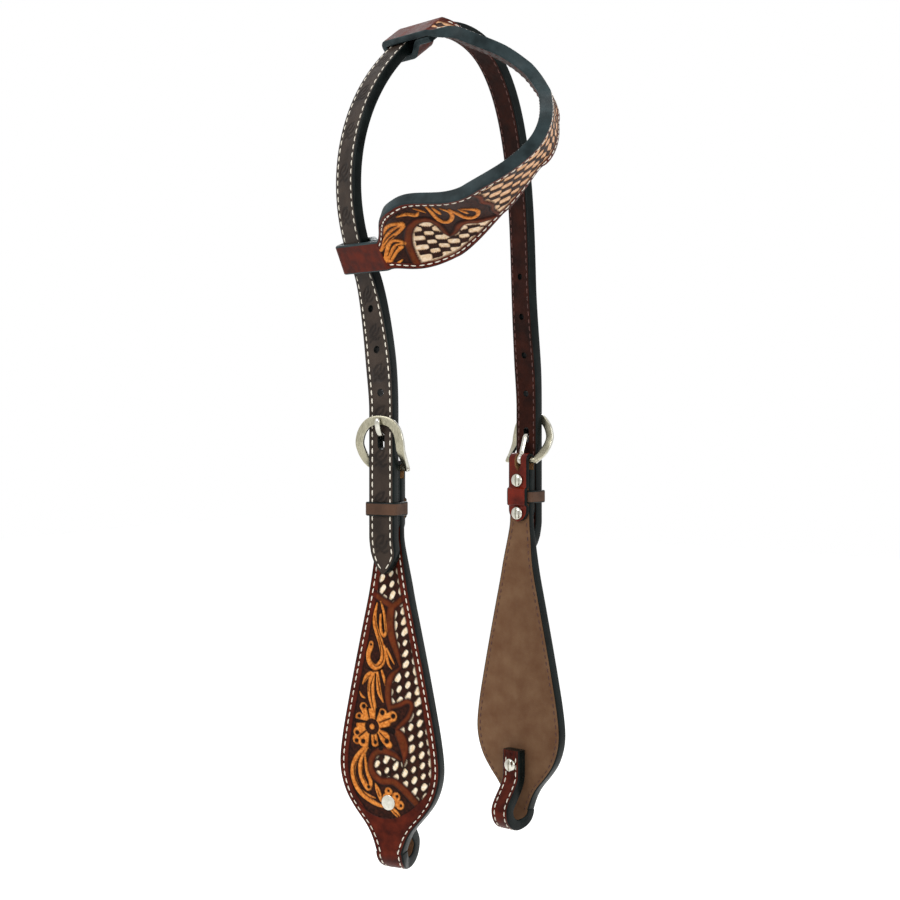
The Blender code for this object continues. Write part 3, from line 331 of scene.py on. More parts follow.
light, white = [
    add_node(tree, "ShaderNodeBackground", None, {"Color": WHITE, "Strength": strength}).outputs[0]
    for strength in (WORLD_STRENGTH, 1.0)
]
mix = add_node(tree, "ShaderNodeMixShader", None, {0: seen_directly(tree), 1: light, 2: white})
add_node(tree, "ShaderNodeOutputWorld", None, {"Surface": mix.outputs[0]})


def add_lamp(name, place, size, power):
    """A round soft lamp that looks at the middle of the headstall."""
    lamp_data = bpy.data.lights.new(name, "AREA")
    lamp_data.shape = "DISK"
    lamp_data.size = size
    lamp_data.energy = power
    lamp = bpy.data.objects.new(name, lamp_data)
    lamp.location = place
    direction = np.array(LAMP_TARGET) - np.array(place)
    yaw = math.atan2(direction[1], direction[0])
    pitch = math.atan2(-direction[2], math.hypot(direction[0], direction[1]))
    lamp.rotation_euler = (math.pi / 2 - pitch, 0, yaw - math.pi / 2)
    bpy.context.scene.collection.objects.link(lamp)


for lamp_row in (
    ("key lamp", (-0.4, -1.6, 0.9), 1.0, 16),
    ("front lamp", (1.7, -0.5, 0.3), 0.8, 9),
    ("back lamp", (-0.9, 1.4, 0.6), 0.9, 10),
):
    add_lamp(*lamp_row)

floor_finish = bpy.data.materials.new("pale studio floor")
floor_finish.use_nodes = True
tree = floor_finish.node_tree
tree.nodes.clear()
lift = add_node(
    tree, "ShaderNodeMath", {"operation": "MULTIPLY"}, {0: seen_directly(tree), 1: FLOOR_LIFT}
)
shader = add_node(tree, "ShaderNodeBsdfPrincipled", None, {
    "Base Color": linear("#f2f2f0"), "Roughness": 0.9,
    "Emission Color": WHITE, "Emission Strength": lift.outputs[0],
})
add_node(tree, "ShaderNodeOutputMaterial", None, {"Surface": shader.outputs[0]})
floor_mesh = bpy.data.meshes.new("floor")
corners = [
    (x * FLOOR_SIZE / 2, y * FLOOR_SIZE / 2, FLOOR_HEIGHT)
    for x, y in ((-1, -1), (1, -1), (1, 1), (-1, 1))
]
floor_mesh.from_pydata(corners, [], [(0, 1, 2, 3)])
floor_mesh.materials.append(floor_finish)
floor = bpy.data.objects.new("floor", floor_mesh)
bpy.context.scene.collection.objects.link(floor)


# %% [markdown]
# ## Finishes
#
# Bridle leather is vegetable-tanned cowhide. Dye sinks in unevenly, so each leather mixes a
# darker and a lighter tone over about a centimetre, and its pores are a fine bump about half a
# millimetre across. Edges are burnished and painted, so they are darker and smoother.

# %% Leather finishes
PAINT = "tooling"
TONE_LOW = 0.3
TONE_HIGH = 0.7
FINE_DETAIL = 3.0
DYE_DETAIL = 4.0
DYE_PATCH = 11 * MM
GLOSS_PATCH = 3 * MM
CREASE_PORES = 4
GLAZE_ROUGHNESS = 0.16


def new_finish(name):
    """A new material: its node tree, its Principled shader and its own surface coordinates."""
    material = bpy.data.materials.new(name)
    material.use_nodes = True
    tree = material.node_tree
    place = add_node(tree, "ShaderNodeTexCoord").outputs["Object"]
    return material, tree, tree.nodes["Principled BSDF"], place


def two_tones(tree, factor, dark, light):
    """Colour between two sRGB tones, stretched over the range in which most of the noise lies."""
    ramp = add_node(tree, "ShaderNodeValToRGB", None, {"Fac": factor})
    for element, at, tone in zip(ramp.color_ramp.elements, (TONE_LOW, TONE_HIGH), (dark, light)):
        element.position = at
        element.color = linear(tone)
    return ramp.outputs["Color"]


def pores(tree, place, size):
    """Height of the hide's pores: a cell pattern, roughened by noise."""
    cells = add_node(tree, "ShaderNodeTexVoronoi", None, {"Vector": place, "Scale": 1 / size})
    creases = add_node(
        tree, "ShaderNodeTexNoise", None,
        {"Vector": place, "Scale": 1 / (size * CREASE_PORES), "Detail": FINE_DETAIL},
    )
    return add_node(
        tree, "ShaderNodeMath", {"operation": "ADD"},
        {0: cells.outputs["Distance"], 1: creases.outputs["Fac"]},
    ).outputs[0]


def link_surface(tree, shader, colour, height, depth, gloss=None):
    """Links a colour, a bump of some depth, and a gloss that is given as (pattern, low, high)."""
    tree.links.new(colour, shader.inputs["Base Color"])
    bump = add_node(tree, "ShaderNodeBump", None, {"Height": height, "Distance": depth})
    tree.links.new(bump.outputs["Normal"], shader.inputs["Normal"])
    if gloss:
        pattern, low, high = gloss
        spread = add_node(tree, "ShaderNodeMapRange", None, {
            "Value": pattern, "From Min": TONE_LOW, "From Max": TONE_HIGH,
            "To Min": low, "To Max": high,
        })
        tree.links.new(spread.outputs[0], shader.inputs["Roughness"])


def leather(
    name, dark, light, roughness, coat=0.0, pore=0.55 * MM, depth=0.05 * MM, pressed=None, specular=0.2
):
    """Dyed leather between two tones, with a varying gloss, pores, and painted shade in its pressed
    marks.
    """
    material, tree, shader, place = new_finish(name)
    dye = add_node(
        tree, "ShaderNodeTexNoise", None,
        {"Vector": place, "Scale": 1 / DYE_PATCH, "Detail": DYE_DETAIL},
    )
    colour = two_tones(tree, dye.outputs["Fac"], dark, light)
    # The pressed colour is painted shade, mixed in by the alpha amount of the tooling attribute.
    if pressed:
        marks = add_node(tree, "ShaderNodeAttribute", {"attribute_name": PAINT}).outputs["Alpha"]
        colour = add_node(
            tree, "ShaderNodeMix", {"data_type": "RGBA"},
            {"Factor": marks, "A": colour, "B": linear(pressed)},
        ).outputs["Result"]
    wear = add_node(
        tree, "ShaderNodeTexNoise", None,
        {"Vector": place, "Scale": 1 / GLOSS_PATCH, "Detail": FINE_DETAIL},
    )
    gloss = (wear.outputs["Fac"], roughness - 0.06, roughness + 0.08)
    link_surface(tree, shader, colour, pores(tree, place, pore), depth, gloss)
    shader.inputs["Specular IOR Level"].default_value = specular
    shader.inputs["Coat Weight"].default_value = coat
    shader.inputs["Coat Roughness"].default_value = GLAZE_ROUGHNESS
    return material


# Its pressed colour is painted shade along the outlines of the crown's pressed leaves; it also darkens
# the stitch grooves.
crown_leather = leather(
    "grey-brown bridle leather", "#271f1a", "#3f342c", 0.46, pressed="#0c0806", specular=0.15
)
crown_lining_leather = leather("dark lining leather", "#1b0b07", "#38180f", 0.5, specular=0.06)
cheek_lining_leather = leather("brown lining leather", "#674730", "#785a41", 0.75, pore=0.8 * MM)
oxblood_leather = leather("glazed oxblood leather", "#460f06", "#7a2413", 0.24, coat=0.2, specular=0.05)
keeper_leather = leather("brown keeper leather", "#443024", "#5b4233", 0.48, specular=0.15)
edge_paint = leather(
    "black edge paint", "#060a0a", "#131b1a", 0.3, pore=0.9 * MM, depth=0.03 * MM, specular=0.1
)
slate_edge_paint = leather("slate edge paint", "#1b2426", "#344144", 0.44, pore=0.9 * MM, specular=0.1)
raw_leather = leather("raw cut leather", "#7d5a3a", "#a67c52", 0.8)

# %% [markdown]
# The tooled pieces are carved, dyed oxblood, painted orange on the flowers and cream in the
# basket weave, and wiped with dark antique paste that stays in the cuts. The carving itself is
# real relief in the mesh. Each point also carries four paint amounts, which the material reads:
# orange, oxblood, cream and antique. On the vine, a little orange along the middle is a painted
# highlight, and extra antique along its edges is painted shade.

# %% Tooled and painted leather
def tooled_leather(name):
    """Leather whose dye and paints follow the amounts that are stored on its points."""
    material, tree, shader, place = new_finish(name)
    paint = add_node(tree, "ShaderNodeAttribute", {"attribute_name": PAINT}).outputs
    amounts = add_node(tree, "ShaderNodeSeparateColor", None, {"Color": paint["Color"]}).outputs
    patches, streaks = [
        add_node(
            tree, "ShaderNodeTexNoise", None, {"Vector": place, "Scale": 1 / size, "Detail": detail}
        ).outputs["Fac"]
        for size, detail in ((6 * MM, DYE_DETAIL), (1.6 * MM, FINE_DETAIL))
    ]
    colour = two_tones(tree, streaks, "#1a0a06", "#3c1c12")
    for amount, pattern, dark, light in (
        (amounts["Green"], patches, "#370e06", "#5f2112"),
        (amounts["Red"], streaks, "#b4601f", "#f09a48"),
        (amounts["Blue"], streaks, "#e9c99c", "#fff6e2"),
        (paint["Alpha"], streaks, "#0a0403", "#1c0d08"),
    ):
        coat = two_tones(tree, pattern, dark, light)
        colour = add_node(
            tree, "ShaderNodeMix", {"data_type": "RGBA"}, {"Factor": amount, "A": colour, "B": coat}
        ).outputs["Result"]
    link_surface(tree, shader, colour, pores(tree, place, 0.5 * MM), 0.04 * MM, (patches, 0.34, 0.5))
    shader.inputs["Specular IOR Level"].default_value = 0.08
    return material


painted_leather = tooled_leather("tooled painted leather")

# %% [markdown]
# The thread is waxed and bonded, with a faint twist. The hardware is nickel plate: its fronts are
# brushed, so they blur what they mirror, and its edges are polished.

# %% Thread and nickel
THREAD_TWIST = 2.2 * MM
THREAD_SPOT = 1.5 * MM
SCRATCH_LENGTH = 2.5 * MM
SCRATCH_DETAIL = 5.0


def waxed_thread(name, dark, light):
    """Twisted thread: slanted bands a couple of millimetres apart, as a bump."""
    material, tree, shader, place = new_finish(name)
    twist = add_node(
        tree, "ShaderNodeTexWave", {"bands_direction": "DIAGONAL"},
        {"Vector": place, "Scale": 1 / THREAD_TWIST, "Distortion": 2.0},
    ).outputs["Fac"]
    fuzz = add_node(
        tree, "ShaderNodeTexNoise", None,
        {"Vector": place, "Scale": 1 / THREAD_SPOT, "Detail": FINE_DETAIL},
    )
    colour = two_tones(tree, fuzz.outputs["Fac"], dark, light)
    link_surface(tree, shader, colour, twist, 0.06 * MM)
    shader.inputs["Roughness"].default_value = 0.55
    return material


def nickel(name, dark, light, roughness, streak):
    """Nickel plate. Brushing is a noise that is stretched along one direction."""
    material, tree, shader, place = new_finish(name)
    stretched = add_node(
        tree, "ShaderNodeMapping", None, {"Vector": place, "Scale": (streak, streak, 1.0)}
    ).outputs["Vector"]
    scratches = add_node(
        tree, "ShaderNodeTexNoise", None,
        {"Vector": stretched, "Scale": 1 / SCRATCH_LENGTH, "Detail": SCRATCH_DETAIL},
    ).outputs["Fac"]
    link_surface(
        tree, shader, two_tones(tree, scratches, dark, light), scratches, roughness * 0.05 * MM,
        (scratches, roughness * 0.8, roughness * 1.3),
    )
    shader.inputs["Metallic"].default_value = 1.0
    return material


white_thread = waxed_thread("white waxed thread", "#d9d0bd", "#f6f0e2")
russet_thread = waxed_thread("russet waxed thread", "#3a1a14", "#5e3128")
brown_thread = waxed_thread("brown waxed thread", "#36190f", "#54291a")
brushed_nickel = nickel("brushed nickel", "#8c8874", "#b5b09b", 0.36, 7.0)
polished_nickel = nickel("polished nickel", "#b4b2a6", "#d2d0c6", 0.12, 1.0)

# %% [markdown]
# ## Making a strap
#
# `skin` wraps a closed mesh round a route. Each ring of points goes up one edge, round a small
# corner, over the show face and down the other edge, and the back closes it. Strips of the ring
# get their own finish: show face, painted edge and back. A relief can press the show face in, and
# paint amounts are stored point by point.

# %% Wrap a leather layer round a route
CORNER_STEPS = 4
CORNER_ROUND = 0.9 * MM
CORNER_THICK_SHARE = 0.8
CORNER_WIDTH_SHARE = 0.6
SMOOTH_ANGLE = 50 * DEG


def mesh_object(name, points, faces, materials, indices=None):
    """A smooth-shaded object from arrays, with a material index for each face."""
    mesh = bpy.data.meshes.new(name)
    mesh.from_pydata(points.reshape(-1, 3).tolist(), [], faces)
    for material in materials:
        mesh.materials.append(material)
    if indices is not None:
        mesh.polygons.foreach_set("material_index", indices)
    mesh.shade_smooth()
    mesh.set_sharp_from_angle(angle=SMOOTH_ANGLE)
    piece = bpy.data.objects.new(name, mesh)
    bpy.context.scene.collection.objects.link(piece)
    return piece


def ring_faces(count, size, closed):
    """Quads that join rings of points, and the caps of a run that isn't closed."""
    grid = np.arange(count * size).reshape(count, size)
    caps = [] if closed else [grid[0][::-1].tolist(), grid[-1].tolist()]
    if closed:
        grid = np.vstack([grid, grid[:1]])
    low, high = grid[:-1], grid[1:]
    quads = np.stack([low, np.roll(low, -1, 1), np.roll(high, -1, 1), high], -1)
    return quads.reshape(-1, 4).tolist(), caps


def skin(
    name, route, halves, lows, highs, materials, show_high=True, columns=9, relief=None, closed=False
):
    """One leather layer. materials are for the show face, the edges and the back."""
    points, _, across, out = route
    halves, lows, highs = [np.broadcast_to(value, len(points)) for value in (halves, lows, highs)]
    show, back = (highs, lows) if show_high else (lows, highs)
    turn = 1.0 if show_high else -1.0
    room = np.minimum(abs(show - back) * CORNER_THICK_SHARE, halves * CORNER_WIDTH_SHARE)
    corner = np.minimum(CORNER_ROUND, room)
    flat = halves - corner
    angles = np.linspace(0, math.pi / 2, CORNER_STEPS + 1)
    rise = [(-(flat + corner * math.cos(a)), show - turn * corner * (1 - math.sin(a))) for a in angles]
    fall = [(-u, n) for u, n in reversed(rise)]
    face_u = flat[:, None] * np.linspace(-1, 1, columns + 2)[1:-1]
    face_n = np.broadcast_to(show[:, None], face_u.shape)
    paint = None
    if relief is not None:
        press, paint = relief(face_u, halves[:, None])
        face_n = face_n - turn * press
    u = np.column_stack([-halves] + [x for x, _ in rise] + [face_u] + [x for x, _ in fall] + [halves])
    n = np.column_stack([back] + [y for _, y in rise] + [face_n] + [y for _, y in fall] + [back])
    verts = points[:, None] + across[:, None] * u[..., None] + out[:, None] * n[..., None]
    rings, size = u.shape
    faces, caps = ring_faces(rings, size, closed)
    edge = CORNER_STEPS + 2
    strips = np.ones(size, int)
    strips[edge - 1:size - edge] = 0
    strips[-1] = 2
    indices = np.tile(strips, len(faces) // size).tolist() + [1] * len(caps)
    faces += caps
    if not show_high:
        faces = [face[::-1] for face in faces]
    piece = mesh_object(name, verts, faces, materials, indices)
    if paint is not None:
        colours = np.zeros((rings, size, 4), np.float32)
        colours[..., 1] = 1.0
        colours[:, edge:edge + columns] = paint
        layer = piece.data.attributes.new(PAINT, "FLOAT_COLOR", "POINT")
        layer.data.foreach_set("color", colours.ravel())
    return piece


def check_outward(piece):
    """Turns the faces of a closed mesh outward."""
    bm = bmesh.new()
    bm.from_mesh(piece.data)
    bmesh.ops.recalc_face_normals(bm, faces=bm.faces)
    bm.to_mesh(piece.data)
    bm.free()
    return piece


# %% [markdown]
# Each stitch is a short piece of thread that comes up out of one hole and dives into the next. It
# is a small tube that bows up in the middle and sinks at both ends, about 3.5 mm long, laid end to
# end along the edge with a gap for the hole.

# %% Stitches
STITCH_GROOVE = 0.14 * MM
GROOVE_REACH = 0.5 * MM
STITCH_RINGS = 6
STITCH_SIDES = 8
THREAD_WIDTH = 0.8 * MM
THREAD_FLATNESS = 0.8
# The thread is thinnest and lowest in its holes. These are shares of its width.
END_SINK_SHARE = 0.3
BOW_RISE_SHARE = 0.42
END_RADIUS_SHARE = 0.28
BOW_RADIUS_SHARE = 0.24


def groove_at(edge, inset):
    """How fully points lie in the groove that sinks the stitches, by their distance from the edge."""
    return np.exp(-((edge - inset) / GROOVE_REACH) ** 2)


def stitches(name, route, halves, levels, inset, material, start, stop, pitch, length, outward=1.0):
    """Two rows of stitches, one along each edge, between two lengths of the route."""
    points, _, across, out = route
    halves, levels = [np.broadcast_to(value, len(points)) for value in (halves, levels)]
    out = out * outward
    shares = np.linspace(0, 1, STITCH_RINGS)
    bow = np.sin(math.pi * shares)
    lift = THREAD_WIDTH * (BOW_RISE_SHARE * bow ** 0.7 - END_SINK_SHARE)
    radius = THREAD_WIDTH * (END_RADIUS_SHARE + BOW_RADIUS_SHARE * bow ** 0.5)
    turns = np.arange(STITCH_SIDES) * 2 * math.pi / STITCH_SIDES
    round_out, round_up = np.cos(turns)[:, None], THREAD_FLATNESS * np.sin(turns)[:, None]
    reach = np.maximum(halves - inset, 0.5 * MM)
    tubes = []
    for edge in (-1, 1):
        line = points + across * (edge * reach)[:, None] + out * (levels * outward)[:, None]
        steps = length_along(line)
        first, last = np.interp([start, stop], length_along(points), steps)
        count = int((last - first) / pitch)
        places = first + pitch * (np.arange(count)[:, None] + 0.5) + length * (shares[None] - 0.5)
        centre, sideways, upward = [
            np.stack([np.interp(places, steps, values[:, k]) for k in range(3)], -1)
            for values in (line, across, out)
        ]
        sideways, upward = unit(sideways), unit(upward)
        centre = centre + upward * lift[:, None]
        ring = sideways[:, :, None] * round_out + upward[:, :, None] * round_up
        tubes.append(centre[:, :, None] + ring * radius[:, None, None])
    verts = np.concatenate(tubes)
    quads, caps = ring_faces(STITCH_RINGS, STITCH_SIDES, False)
    firsts = np.arange(len(verts))[:, None, None] * (STITCH_RINGS * STITCH_SIDES)
    faces = (firsts + quads).reshape(-1, 4).tolist()
    faces += (firsts + caps).reshape(-1, STITCH_SIDES).tolist()
    return check_outward(mesh_object(name, verts, faces, [material]))


# %% [markdown]
# ## Tooling patterns
#
# A pattern is drawn in millimetres on the flat leather. A stroke is a smooth line with a width at
# each point. `stroke_gap` gives how far each grid point lies outside it, with minus values inside.
# The relief and the paint both come from that one distance, so colour and carving always match.

# %% Distances to drawn strokes
STROKE_STEPS = 5
THINNEST_STROKE = 0.3
# Only points within this many millimetres of a stroke are measured. The rest count as far away.
STROKE_REACH = 3.0
FAR_AWAY = 1e3


def stroke_gap(rows, x, y):
    """Distance in mm from the points to a stroke through rows of (x, y, width)."""
    line = smooth_line([np.array(row, float) for row in rows], STROKE_STEPS)
    line[:, 2] = np.maximum(line[:, 2], THINNEST_STROKE)
    best = np.full(x.shape, FAR_AWAY)
    reach = line[:, 2].max() / 2 + STROKE_REACH
    near = (
        (x > line[:, 0].min() - reach) & (x < line[:, 0].max() + reach)
        & (y > line[:, 1].min() - reach) & (y < line[:, 1].max() + reach)
    )
    px, py, gap = x[near], y[near], best[near]
    for (ax, ay, aw), (bx, by, bw) in zip(line, line[1:]):
        dx, dy = bx - ax, by - ay
        t = np.clip(((px - ax) * dx + (py - ay) * dy) / (dx * dx + dy * dy + 1e-9), 0, 1)
        away = np.hypot(px - ax - dx * t, py - ay - dy * t) - (aw + (bw - aw) * t) / 2
        gap = np.minimum(gap, away)
    best[near] = gap
    return best


def strokes_gap(strokes, x, y):
    """Distance in mm to the nearest of several strokes."""
    best = np.full(x.shape, FAR_AWAY)
    for rows in strokes:
        best = np.minimum(best, stroke_gap(rows, x, y))
    return best


def dots_gap(dots, x, y):
    """Distance in mm to the nearest of several round spots, each (x, y, radius)."""
    best = np.full(x.shape, FAR_AWAY)
    for dx, dy, radius in dots:
        best = np.minimum(best, np.hypot(x - dx, y - dy) - radius)
    return best


def inside(outlines, x, y):
    """True for points inside any of several closed outlines."""
    hit = np.zeros(x.shape, bool)
    for outline in outlines:
        within = np.zeros(x.shape, bool)
        for (ax, ay), (bx, by) in zip(outline, outline[1:] + outline[:1]):
            if by != ay:
                within ^= ((ay > y) != (by > y)) & (x < (bx - ax) * (y - ay) / (by - ay) + ax)
        hit |= within
    return hit


def fill(gap, soft=0.35):
    """Amount of paint for a distance: all inside, none outside, with a soft edge."""
    return np.clip(0.5 - gap / soft, 0, 1)


# %% [markdown]
# The basket weave is stamped: one tool prints a dark ribbed block, again and again, on a slanted
# grid. The small openings between the blocks are painted cream. The same function serves the
# cheeks and the ear piece, with its own slant for each.

# %% Basket-weave stamping
# In millimetres, except the lean, which is a slope, and the square, which is 2 for an oval
# opening and more for a boxier one.
CHEEK_BASKET = {
    "pitch_along": 6.15, "pitch_across": 6.1, "slant": -2.85,
    "opening_long": 2.75, "opening_wide": 1.5, "lean": -0.7, "square": 2.6,
}
EAR_BASKET = {
    "pitch_along": 13.2, "pitch_across": 3.8, "slant": 6.6,
    "opening_long": 3.2, "opening_wide": 1.75, "lean": 0.0, "square": 4.0,
}
RIB_PITCH = 1.3
HAND_WOBBLE = 0.13


def basket_weave(
    x, y, grow, pitch_along, pitch_across, slant, opening_long, opening_wide, lean, square
):
    """Relief in mm, cream amount, printed edges and ribs. Openings lie on a brick-like grid, and
    grow where the blocks stop short of a carved line."""
    column = np.round(x / pitch_across)
    best = np.full(x.shape, FAR_AWAY)
    for shift in (-1, 0, 1):
        c = column + shift
        base = y - c * slant
        row = np.round(base / pitch_along)
        for step in (-1, 0, 1):
            dx = x - c * pitch_across
            dy = base - (row + step) * pitch_along
            wobble = 1 + HAND_WOBBLE * np.sin(c * 2.3 + (row + step) * 4.1)
            along = np.abs(dy + dx * lean) / (opening_long * wobble)
            across = np.abs(dx - dy * lean) / (opening_wide * wobble)
            best = np.minimum(best, (across ** square + along ** square) ** (1 / square))
    best = best - grow
    opening = np.clip((1.0 - best) * 4.0 + 0.5, 0, 1)
    ribs = 0.5 + 0.5 * np.cos((y + x * lean) * 2 * math.pi / RIB_PITCH)
    edge = np.clip(1 - np.abs(best - 1.16) * 5, 0, 1)
    press = 0.10 + 0.45 * opening + 0.18 * edge + 0.12 * ribs * (1 - opening)
    return press, opening, edge, ribs * (1 - opening)


# %% [markdown]
# The cheek's drawing: an oxblood vine divides painted scrolls and a flower from the basket weave.
# Its rows are (across, down from the buckle, width) in millimetres. This is traditional western
# floral tooling, drawn afresh for this part.

# %% The cheek's drawing
CHEEK_VINE = [
    [(-14, 73, 4.6), (2.4, 82, 4.6)],
    [(2.4, 82, 4.6), (15, 72.4, 4.6)],
    [(1.6, 83, 5.6), (0.8, 88, 6.2), (0.8, 94.6, 6.2), (2.6, 101.9, 5.6), (5.6, 109.8, 4.4),
     (7.4, 115.1, 3), (8.2, 117.6, 1.6)],
    [(8, 116.8, 1.8), (6.4, 118.6, 2.6), (2, 122.5, 4.2), (-0.4, 128.3, 5), (-0.7, 136, 5),
     (0.5, 142, 4)],
    [(0.4, 141.6, 3.8), (6.7, 139.6, 3.8), (12.8, 136.9, 3.6), (15.4, 139.6, 3.6),
     (12.7, 146.5, 3.8), (7.9, 151.2, 3.6), (5.2, 153.6, 2.6)],
    [(3.2, 154.4, 3), (7.8, 158, 7), (10.2, 163.9, 6.8), (10.5, 169.1, 4.2), (9.7, 175.5, 1)],
    [(7.6, 171.6, 2.4), (4.6, 169.6, 4), (0.4, 168.1, 4.6), (-4.6, 167.6, 4.6), (-9.3, 169.5, 4.6),
     (-12, 173.6, 4.6), (-12.3, 178.6, 4.8), (-9.7, 183, 5), (-4.6, 185.5, 5), (1, 185, 5),
     (4.4, 185.6, 5.2), (9.7, 188.8, 5.4), (15.7, 193.6, 5.4), (21, 198.3, 5.2), (27, 203.6, 5)],
]
CHEEK_WEAVE = [
    [(-40, 40), (40, 40), (40, 72.4), (15, 72.4), (2.4, 82), (-14, 73), (-40, 73)],
    [(2.4, 82), (15, 72.4), (40, 72.4), (40, 214), (27, 203.6), (21, 198.3), (15.7, 193.6),
     (9.7, 188.8), (4.4, 185.6), (-4.6, 185.5), (-9.7, 183), (-12.3, 178.6), (-12, 173.6),
     (-9.3, 169.5), (-4.6, 167.6), (0.4, 168.1), (7.6, 171.6), (9.7, 175), (10.5, 169.1),
     (10.2, 163.9), (7.8, 158), (4.8, 154), (7.9, 151.2), (12.7, 146.5), (15.4, 139.6),
     (12.8, 136.9), (6.7, 139.6), (0.5, 141.8), (-0.7, 136), (-0.4, 128.3), (2, 122.5), (8, 117),
     (5.6, 109.8), (2.6, 101.9), (0.8, 94.6), (0.8, 88)],
]
CHEEK_SCROLLS = [
    [(-5.6, 79.5, 1), (-4.4, 83, 1.8), (-3.5, 87, 2.2), (-2.7, 92, 2.3), (-2.2, 97, 2.2),
     (-3.6, 99.6, 2), (-5.4, 97, 2), (-6, 92, 1.9), (-5.8, 87, 1.4)],
    [(-8.2, 80.5, 1.2), (-9.6, 87, 2.4), (-9.8, 92.4, 3), (-8.2, 97.7, 3.4), (-5.8, 103.5, 3.8),
     (-4.3, 109.8, 4.2), (-5, 115, 4.2), (-9, 118.6, 3.8), (-13.2, 116.2, 3.4), (-14.3, 111.4, 3.2),
     (-12.6, 106.6, 3.6), (-12.2, 104.6, 3.2)],
    [(-3.4, 105.5, 1.8), (-1.6, 111.5, 2), (-0.4, 116, 1.8), (1.7, 118.6, 0.8)],
    [(-1.6, 107, 1.4), (1.2, 112, 1.6), (3.4, 115.6, 0.8)],
    [(-9, 121.3, 1.4), (-12.4, 122.6, 3.2), (-15.6, 124.8, 3), (-18.2, 129, 1)],
    [(-10.6, 121.5, 2.4), (-12.4, 128.3, 4.6), (-12.2, 136, 4.8), (-10.6, 142, 4), (-9.8, 147, 3)],
    [(-8, 121.6, 1.8), (-7.4, 128.3, 3), (-6.6, 133.5, 3), (-4.2, 138.6, 1.2)],
    [(-5, 120.4, 1.6), (-3.6, 124.4, 2), (-2.8, 128.6, 0.8)],
    [(-20.2, 134, 0.8), (-18.6, 136.4, 1.8), (-16.6, 137.4, 0.9)],
    [(-14.6, 165, 1.6), (-19.4, 169.5, 2.8), (-23.4, 175, 3.4), (-25, 182, 3.6),
     (-23.2, 188.8, 3.6), (-19.5, 193.8, 3.4), (-14.1, 197.2, 3.2), (-7.6, 199.8, 2.6),
     (-2, 200.6, 1.4)],
    [(-14.8, 167, 1.2), (-18.6, 172.5, 2.2), (-20, 178, 2.8), (-19.2, 184, 3), (-16.6, 188.6, 3.4),
     (-14.6, 191, 3.2)],
    [(-16.6, 170.4, 1), (-16, 176, 2), (-14.8, 182, 2.4), (-12.6, 187, 2.8), (-13.4, 190.6, 2.6)],
    [(-20, 192, 0.8), (-15, 194.6, 1.6), (-9.6, 196, 1)],
    [(-9.4, 187.6, 0.9), (-8, 190.6, 3), (-6.4, 194.4, 3), (-5.4, 197.4, 1.6)],
    [(1.4, 200.6, 3.2), (5, 203.6, 3.4), (8.6, 206.4, 1)],
]
CHEEK_SPOTS = [
    (-0.4, 191.4, 2.7), (4.8, 193.8, 2.9), (7.4, 198.4, 2.9), (3, 197.4, 2.8), (-2, 195, 2.6),
]
CHEEK_EYES = [
    (-0.4, 190.8, 0.9), (5.4, 193.4, 1), (8, 198.6, 1), (-14, 190, 1.2), (-4, 96.6, 1),
    (-12.4, 105.2, 0.9),
]
CHEEK_VEINS = [
    [(-9.8, 88, 0.3), (-8.6, 95, 0.6), (-5.2, 104, 0.7), (-3.6, 110.6, 0.7), (-4.8, 115.4, 0.6),
     (-8.8, 118, 0.6), (-12.6, 115, 0.4)],
    [(-7.4, 100.6, 0.3), (-5.9, 107, 0.7), (-6.4, 112.6, 0.5), (-9, 115, 0.3)],
    [(-14.4, 119.8, 0.5), (-10.4, 121.2, 0.9), (-4.4, 118.6, 0.5)],
    [(-12.6, 123.4, 0.3), (-15.2, 125.4, 0.6), (-17.4, 128.4, 0.3)],
    [(-10.6, 124, 0.4), (-12.6, 130, 0.9), (-12.2, 137, 0.9), (-10.4, 144, 0.4)],
    [(-14.2, 127, 0.3), (-14.2, 133, 0.5)],
    [(-7.8, 124.5, 0.3), (-6.8, 130.5, 0.8), (-5.6, 135.5, 0.3)],
    [(-19.6, 171.6, 0.4), (-23.8, 179, 0.9), (-22.6, 187.2, 0.9), (-17.6, 193.6, 0.8),
     (-11, 197.6, 0.4)],
    [(-18.4, 176, 0.3), (-18.4, 183, 0.7), (-16, 188, 0.4)],
    [(-4.9, 84.5, 0.4), (-4.3, 90, 0.9), (-3.9, 95, 0.5)],
    [(2, 201.6, 0.4), (6.2, 204.8, 0.8)],
    [(-8, 190.4, 0.3), (-6.6, 194.6, 0.7)],
]
FLOWER_PLACE = (-11.7, 154.0)
FLOWER_LOBES = [
    (-17.6, 142.6, 2.7), (-13, 145.6, 2.6), (-4.6, 145.6, 3.2), (2.2, 146.6, 3.3), (-1.6, 150.4, 2.8),
    (-2.6, 159.6, 3.2), (-0.2, 163.6, 2.4), (-9.8, 162.6, 3.2), (-17.6, 162.8, 3.8), (-22, 162.4, 3.1),
    (-21.6, 158, 3), (-20.2, 149.4, 3.2), (-20.4, 153.6, 2.4),
]
FLOWER_EYES = [
    (-17.4, 142.3, 1.5), (-4.6, 145, 1.7), (2.8, 146.4, 1.6), (-1.6, 161.6, 1.6), (-9.4, 163, 1.3),
    (-17.8, 163.2, 1.6), (-22.4, 163.2, 1.4), (-21.9, 158.4, 1.5), (-20.6, 148.4, 1.3),
]
FLOWER_CUTS = [
    [(-9.1, 149.4, 1.2), (-7.9, 143.4, 3)],
    [(-5.6, 155, 1.2), (2.4, 155.4, 4)],
    [(-7.9, 158, 1.2), (-5.6, 166, 3.4)],
    [(-13, 158.4, 1.2), (-13.2, 166, 3)],
    [(-15.3, 156.3, 1), (-20.6, 160.6, 1.2)],
    [(-15.3, 151.5, 1.2), (-22.6, 151.4, 3)],
    [(-13.5, 149, 0.9), (-15, 143, 1.6)],
    [(-6.6, 151, 0.8), (0.6, 148, 1.1)],
    [(-6.4, 157, 0.7), (-2.6, 160.2, 0.9)],
    [(-10.4, 159, 0.6), (-9.9, 162.6, 0.9)],
]
ARC_DROP = 207.2
ARC_SAG_SHARE = 0.022


